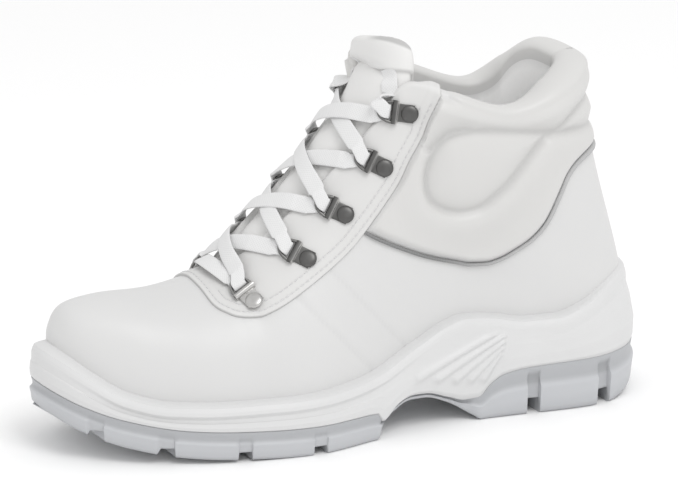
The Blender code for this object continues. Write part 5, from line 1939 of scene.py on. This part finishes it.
@dataclass
class Hardware:
    """Ten riveted clips and the ten wire rings that they hold."""

    bar_reach: float = 6.8
    plate_wide: float = 8.2
    plate_thick: float = 0.9
    hoop_wide: float = 10.8
    hoop_thick: float = 0.6
    bar_lift: float = 1.3
    wire: float = 0.75
    bar: float = 0.7
    ring_wide: float = 11.0
    ring_deep: float = 7.5
    ring_rise: float = 0.5
    rivet_radius: float = 4.0
    rivet_high: float = 1.9

    def frame(self, side: Side, spot: RingSpot) -> tuple[Array, Array]:
        """Where a unit sits: high enough that no point of the facing under it shows through.

        Args:
            side: which side.
            spot: which unit.

        Returns:
            Local axes, towards the throat, across and outward, and the origin on the facing.
        """
        rivet = LAST.place(side, spot.stave, spot.below)
        middle = LAST.place(side, spot.ring_stave, spot.ring_below)
        stave, depth = 0.5 * (spot.stave + spot.ring_stave), 0.5 * (spot.below + spot.ring_below)
        normal = LAST.normal(side, stave, depth)
        ahead = middle - rivet
        ahead = unit(ahead - normal * (ahead @ normal))
        axes = np.array([ahead, np.cross(normal, ahead), normal])
        k = spot.stave + np.linspace(-0.9, 0.6, 25)
        below = np.maximum(spot.below + np.linspace(-24.0, 8.0, 25), 0.0)[:, None]
        facing = LAST.place(side, k, below) + LAST.normal(side, k, below) * Eyestay.proud
        local = (facing - rivet) @ axes.T
        under = (local[..., 0] > -4.4) & (local[..., 0] < 15.0) & (np.abs(local[..., 1]) < 5.6)
        return axes, rivet + normal * (local[..., 2][under].max() - 0.1)

    def wire_height(self, reach: Array) -> Array:
        """Height of a ring's middle plane over the facing."""
        return self.bar_lift + self.ring_rise * (reach - self.bar_reach) / self.ring_deep

    def clip(self, side: Side, spot: RingSpot, finish: bpy.types.Material) -> None:
        """A flat plate, a hoop from its end over the ring's bar with a painted highlight at its rear, and a
        low domed rivet.

        Args:
            side: which side.
            spot: which unit.
            finish: the material.
        """
        axes, origin = self.frame(side, spot)
        piece = Piece(spot.named("clip_plate", side))
        round_over = self.bar + 0.2 + 0.5 * self.hoop_thick
        turn = np.radians(np.linspace(180.0, 0.0, 17))
        arch = np.stack([self.bar_reach + round_over * np.cos(turn),
                         self.bar_lift + round_over * np.sin(turn)], axis=1)
        hoop = np.concatenate([arch[:1] - (0.0, 1.1), arch, arch[-1:] - (0.0, 1.1)])
        plate = np.array([(-2.0, 0.45), (1.0, 0.45), (4.0, 0.5), (self.bar_reach - 0.6, 0.55)])
        strips = ((hoop, self.hoop_wide, self.hoop_thick), (plate, self.plate_wide, self.plate_thick))
        for outline, wide, thick in strips:
            line = rounded(outline, 28)
            path = np.stack([line[:, 0], np.zeros(len(line)), line[:, 1]], axis=1)
            across = np.tile(axes[1], (len(path), 1))
            # Painted highlight at the hoop's rear, where it meets the plate
            painted_highlight = bell(line[:, 0] - self.bar_reach + 1.15, 0.4)
            sweep(piece, path @ axes + origin, across, oval(wide, thick, 20, 5.0), edge=painted_highlight)
        radii = self.rivet_radius * np.array([0.0, 0.9, 1.0, 1.02, 0.97, 0.86, 0.68, 0.46, 0.24, 0.0])
        heights = self.rivet_high * np.array([0.05, 0.05, 0.15, 0.36, 0.55, 0.74, 0.88, 0.96, 0.99, 1.0])
        angle = np.linspace(0.0, 2.0 * math.pi, 32, endpoint=False)[None]
        round_x, round_y = radii[:, None] * np.cos(angle), radii[:, None] * np.sin(angle)
        dome = np.stack(np.broadcast_arrays(round_x, round_y, heights[:, None]), axis=-1)
        piece.add(dome @ axes + origin, grid_quads(*dome.shape[:2], wrap_columns=True))
        settle(piece.finish([finish], sharp=50.0), "clip", spot.named("clip", side))

    def ring(self, side: Side, spot: RingSpot, finish: bpy.types.Material) -> None:
        """A wire D: a bar and a round bow swept as one loop, and a thicker straight rod over the bar.

        Args:
            side: which side.
            spot: which unit.
            finish: the material.
        """
        axes, origin = self.frame(side, spot)
        half = 0.5 * self.ring_wide - self.wire
        turn = np.radians(np.linspace(78.0, -78.0, 33))
        bow = np.stack([self.ring_deep * np.cos(turn), half * np.sin(turn)], axis=1)
        bar = np.stack([np.zeros(15), np.linspace(-half, half, 15)], axis=1)
        flat = np.concatenate([bar, bow])
        flat[:, 0] += self.bar_reach
        path = np.stack([flat[:, 0], flat[:, 1], self.wire_height(flat[:, 0])], axis=1)
        piece = Piece(spot.named("ring_wire", side))
        upright = np.tile(axes[2], (len(path), 1))
        section = oval(2.0 * self.wire, 2.0 * self.wire, 12)
        sweep(piece, path @ axes + origin, upright, section, closed=True)
        rod = np.stack([np.full(9, self.bar_reach), np.linspace(-half - 0.6, half + 0.6, 9),
                        np.full(9, self.bar_lift)], axis=1)
        sweep(piece, rod @ axes + origin, np.tile(axes[2], (9, 1)), oval(2.0 * self.bar, 2.0 * self.bar, 14))
        settle(piece.finish([finish], sharp=50.0), "d_ring", spot.named("d_ring", side))

    def build(self) -> None:
        """All units on both sides: the lowest bright, the others dark."""
        bright = (Steel("bright_plate", 0.50, 0.32).material(), Steel("bright_wire", 0.28, 0.30).material())
        dark = (Steel("dark_plate", 0.12, 0.40).material(), Steel("dark_wire", 0.18, 0.32).material())
        for side in Side:
            for spot in RINGS:
                plate, wire = bright if spot.level == 1 else dark
                self.clip(side, spot, plate)
                self.ring(side, spot, wire)


@dataclass
class Lace:
    """The flat lace: a bar at the bottom, four crossings, and ends tucked under the tongue's roll."""

    wide: float = 8.0
    thick: float = 1.1
    clear: float = 0.85
    over: float = 1.3
    gathered: float = 0.8
    loop_reach: float = 10.6
    steepest: float = 0.75
    low: float = 0.55
    tab_clear: float = 0.9
    step: float = 0.6

    def support(self, facing: Eyestay, tongue: Tongue) -> tuple[Array, Array]:
        """What the lace lies on: the facing on both sides and the tongue's face.

        Args:
            facing: the facing.
            tongue: the tongue.

        Returns:
            Points and normals, both (n, 3).
        """
        k, below = np.meshgrid(np.linspace(5.0, 9.4, 100), np.linspace(0.0, 24.0, 20), indexing="ij")
        points, normals = [], []
        for side in Side:
            normal = LAST.normal(side, k, below)
            points.append((LAST.place(side, k, below) + facing.proud * normal).reshape(-1, 3))
            normals.append(normal.reshape(-1, 3))
        across = np.linspace(-0.66, 0.66, 34)
        grid = tongue.face(np.linspace(tongue.lowest, tongue.highest, 100), across)
        normal = tongue.normals(grid)
        points.append((grid + (tongue.puff * (1.0 - across**2))[None, :, None] * normal).reshape(-1, 3))
        normals.append(normal.reshape(-1, 3))
        return np.concatenate(points), np.concatenate(normals)

    def wrap(
        self, fittings: Hardware, side: Side, level: int, coming: Array, going: Array,
    ) -> tuple[Array, Array]:
        """The turn in a ring: in under the bow, round near the bar, and out over the bow.

        Args:
            fittings: the rings.
            side: which side.
            level: which ring.
            coming: a point that the lace comes from.
            going: a point that it goes to.

        Returns:
            Points and width directions of the turn, from the throat in and back out.
        """
        axes, origin = fittings.frame(side, RINGS[level - 1])
        apex = fittings.bar_reach + fittings.ring_deep
        high = float(fittings.wire_height(np.array(apex))) + fittings.wire + 0.5 * self.thick
        slopes = []
        for other in (coming, going):
            away = (other - origin) @ axes.T
            slope = away[1] / max(abs(away[0] - self.loop_reach), 1.0)
            slopes.append(float(np.clip(slope, -self.steepest, self.steepest)))
        turn = np.radians(np.linspace(-90.0, 90.0, 9))
        radius = 0.5 * (high - self.low)
        ends = [apex + 1.2, apex - 1.4]
        reach = np.concatenate([ends, self.loop_reach - radius * np.cos(turn), ends[::-1]])
        bend = self.low + radius * (1.0 + np.sin(turn))
        height = np.concatenate([[self.low, self.low], bend, [high, high]])
        slope = np.repeat(slopes, (6, 7))
        local = np.stack([reach, slope * np.maximum(reach - self.loop_reach, 0.0), height], axis=1)
        tilts = (-slopes[0], -0.3 * slopes[0], -0.3 * slopes[1], -slopes[1])
        tilt = cubic((0.0, 4.0, 8.0, 12.0), tilts, np.arange(13.0))
        across = np.stack([tilt, np.ones(13), np.zeros(13)], axis=1)
        return local @ axes + origin, unit(across) @ axes

    def taut(
        self, start: Array, end: Array, support: tuple[Array, Array], over: float,
    ) -> tuple[Array, Array]:
        """A stretch pulled tight over what lies under it.

        It starts as a high bow. Each step draws every point half way to the middle of its
        neighbours, then pushes it out to its clearance over the nearest point of the support.

        Args:
            start: the first point.
            end: the last point.
            support: points and normals.
            over: how much higher the middle runs, where it crosses the other half.

        Returns:
            Points and width directions between start and end, without these.
        """
        t = np.linspace(0.0, 1.0, 31)[:, None]
        ahead = unit(np.array([0.75, 0.0, 0.65]))
        path = start + (end - start) * t + 40.0 * t * (1.0 - t) * ahead
        points, normals = support
        for _ in range(160):
            path[1:-1] += 0.5 * (0.5 * (path[:-2] + path[2:]) - path[1:-1])
            near = nearest(points, path[1:-1])
            gap = ((path[1:-1] - points[near]) * normals[near]).sum(axis=1, keepdims=True)
            path[1:-1] += np.maximum(self.clear - gap, 0.0) * normals[near]
        out = np.concatenate([normals[near[:1]], normals[near], normals[near[-1:]]])
        for _ in range(6):
            out[1:-1] = unit(out[:-2] + out[1:-1] + out[2:])
        path = path + over * smooth((0.40 - np.abs(t - 0.5)) / 0.16) * out
        return path[1:-1], np.cross(np.gradient(path, axis=0), out)[1:-1]

    def half(
        self, fittings: Hardware, tongue: Tongue, first: Side, support: tuple[Array, Array],
    ) -> tuple[Array, ...]:
        """Half of the lace, from its first ring through one ring of each level to its tab.

        Args:
            fittings: the rings.
            tongue: the tongue whose roll hides the end.
            first: the side of the first ring.
            support: what the crossings lie on.

        Returns:
            Points, width directions and width factors.
        """
        other = {Side.LATERAL: Side.MEDIAL, Side.MEDIAL: Side.LATERAL}
        order = [first if level % 2 else other[first] for level in range(1, 6)]
        spots = []
        for side, spot in zip(order, RINGS):
            axes, origin = fittings.frame(side, spot)
            spots.append(origin + (fittings.bar_reach + fittings.ring_deep) * axes[0])
        mate = fittings.frame(other[first], RINGS[0])[1]
        v = tongue.highest + np.array([-0.38, -0.2, 0.0, 0.2])
        patch = tongue.face(v, np.sort(-first.value * np.array([0.50, 0.43, 0.36, 0.33])))
        row = np.arange(len(v))
        column = row[::int(first.value)]
        facing_out = tongue.normals(patch)[row, column]
        tab = patch[row, column] + self.tab_clear * facing_out
        over = self.over if first is Side.LATERAL else 0.0
        stops = [mate, *spots, tab[1]]
        parts = []
        for i, side in enumerate(order):
            turn, width = self.wrap(fittings, side, i + 1, stops[i], stops[i + 2])
            if parts:
                path, cross = self.taut(parts[-1][0][-1], turn[0], support, over)
                parts.append((path, cross, np.ones(len(path))))
            parts.append((turn, width, np.full(len(turn), self.gathered)))
        parts.append((tab, np.cross(np.gradient(tab, axis=0), facing_out), np.ones(len(tab))))
        return tuple(np.concatenate(column) for column in zip(*parts))

    def build(self, fittings: Hardware, tongue: Tongue, facing: Eyestay) -> None:
        """Both halves and the bar between them as one swept band.

        Args:
            fittings: the rings.
            tongue: the tongue.
            facing: the facing.
        """
        piece = Piece("lace_flat")
        support = self.support(facing, tongue)
        lateral, medial = [self.half(fittings, tongue, side, support) for side in Side]
        bar, cross = self.taut(lateral[0][0], medial[0][0], support, 0.0)
        parts = zip(lateral, (bar, cross, np.ones(len(bar))), medial)
        path, width, factor = [np.concatenate([one[::-1], between, two]) for one, between, two in parts]
        run = run_along(path)
        at = np.linspace(0.0, run[-1], int(run[-1] / self.step))
        across = read_line(unit(unflipped(width)), run, at)
        factor = cubic(run, factor, at)
        swell = np.stack([factor, np.ones_like(factor)], axis=1)
        section = oval(self.wide, self.thick, 18, 3.2)
        sweep(piece, cubic_line(path, run, at), across, section, swell=swell)
        LOG.info("lace: %.0f mm shown", run[-1])
        settle(piece.finish([Woven("white_lace", 0.76).material()], sharp=80.0), "lace", "lace")


@dataclass
class Studio:
    """Floor, sky, key light and the camera at the photograph's angle."""

    yaw: float = 24.0
    pitch: float = 15.0
    distance: float = 1.44
    target: tuple[float, float, float] = (0.0016, -0.0018, 0.079)
    focal_px: float = 3105.0
    frame_px: float = 678.0
    sensor: float = 36.0
    world: float = 0.90
    key_power: float = 14.0
    key_place: tuple[float, float, float] = (-0.15, 1.25, 1.8)
    key_size: float = 1.0
    floor_level: float = 0.98
    floor_half: float = 6.0

    def camera(self) -> None:
        """The camera: a long lens, looking down a little from the toe side of the outer flank."""
        data = bpy.data.cameras.new("camera")
        data.sensor_width = self.sensor
        data.lens = self.sensor * self.focal_px / self.frame_px
        data.clip_start, data.clip_end = 0.05, 20.0
        item = new_object("camera", data)
        yaw, pitch = math.radians(self.yaw), math.radians(self.pitch)
        away = Vector((math.sin(yaw) * math.cos(pitch), math.cos(yaw) * math.cos(pitch), math.sin(pitch)))
        item.location = Vector(self.target) + self.distance * away
        item.rotation_euler = (-away).to_track_quat("-Z", "Y").to_euler()
        bpy.context.scene.camera = item

    def key(self) -> None:
        """The key: a square soft light aimed at the boot."""
        data = bpy.data.lights.new("key", "AREA")
        data.size, data.energy = self.key_size, self.key_power
        item = new_object("key", data)
        item.location = self.key_place
        item.rotation_euler = (Vector(self.target) - item.location).to_track_quat("-Z", "Y").to_euler()

    def build(self) -> None:
        """Sets camera, sky, key and floor."""
        self.camera()
        world = bpy.data.worlds.new("studio")
        bpy.context.scene.world = world
        world.use_nodes = True
        sky = world.node_tree.nodes["Background"].inputs
        sky["Color"].default_value, sky["Strength"].default_value = grey(1.0), self.world
        self.key()
        mesh = bpy.data.meshes.new("floor")
        corners = self.floor_half * np.array([(-1, -1, 0), (1, -1, 0), (1, 1, 0), (-1, 1, 0)])
        mesh.from_pydata(corners, [], [(0, 1, 2, 3)])
        mesh.materials.append(Shader("pale_floor").dress(base_color=grey(self.floor_level), roughness=0.9))
        new_object("floor", mesh)
        bpy.context.scene.view_settings.view_transform = "Standard"


def main() -> None:
    """Builds the stage and each sub-assembly in order."""
    logging.basicConfig(level=logging.INFO, format="%(message)s")
    Studio().build()
    for maker in (Outsole(), Midsole(), Insole(), Upper(), Piping()):
        maker.build()
    facing, tongue, fittings = Eyestay(), Tongue(), Hardware()
    facing.build()
    Stitching().build(facing)
    tongue.build()
    fittings.build()
    Lace().build(fittings, tongue, facing)


if __name__ == "__main__":
    main()
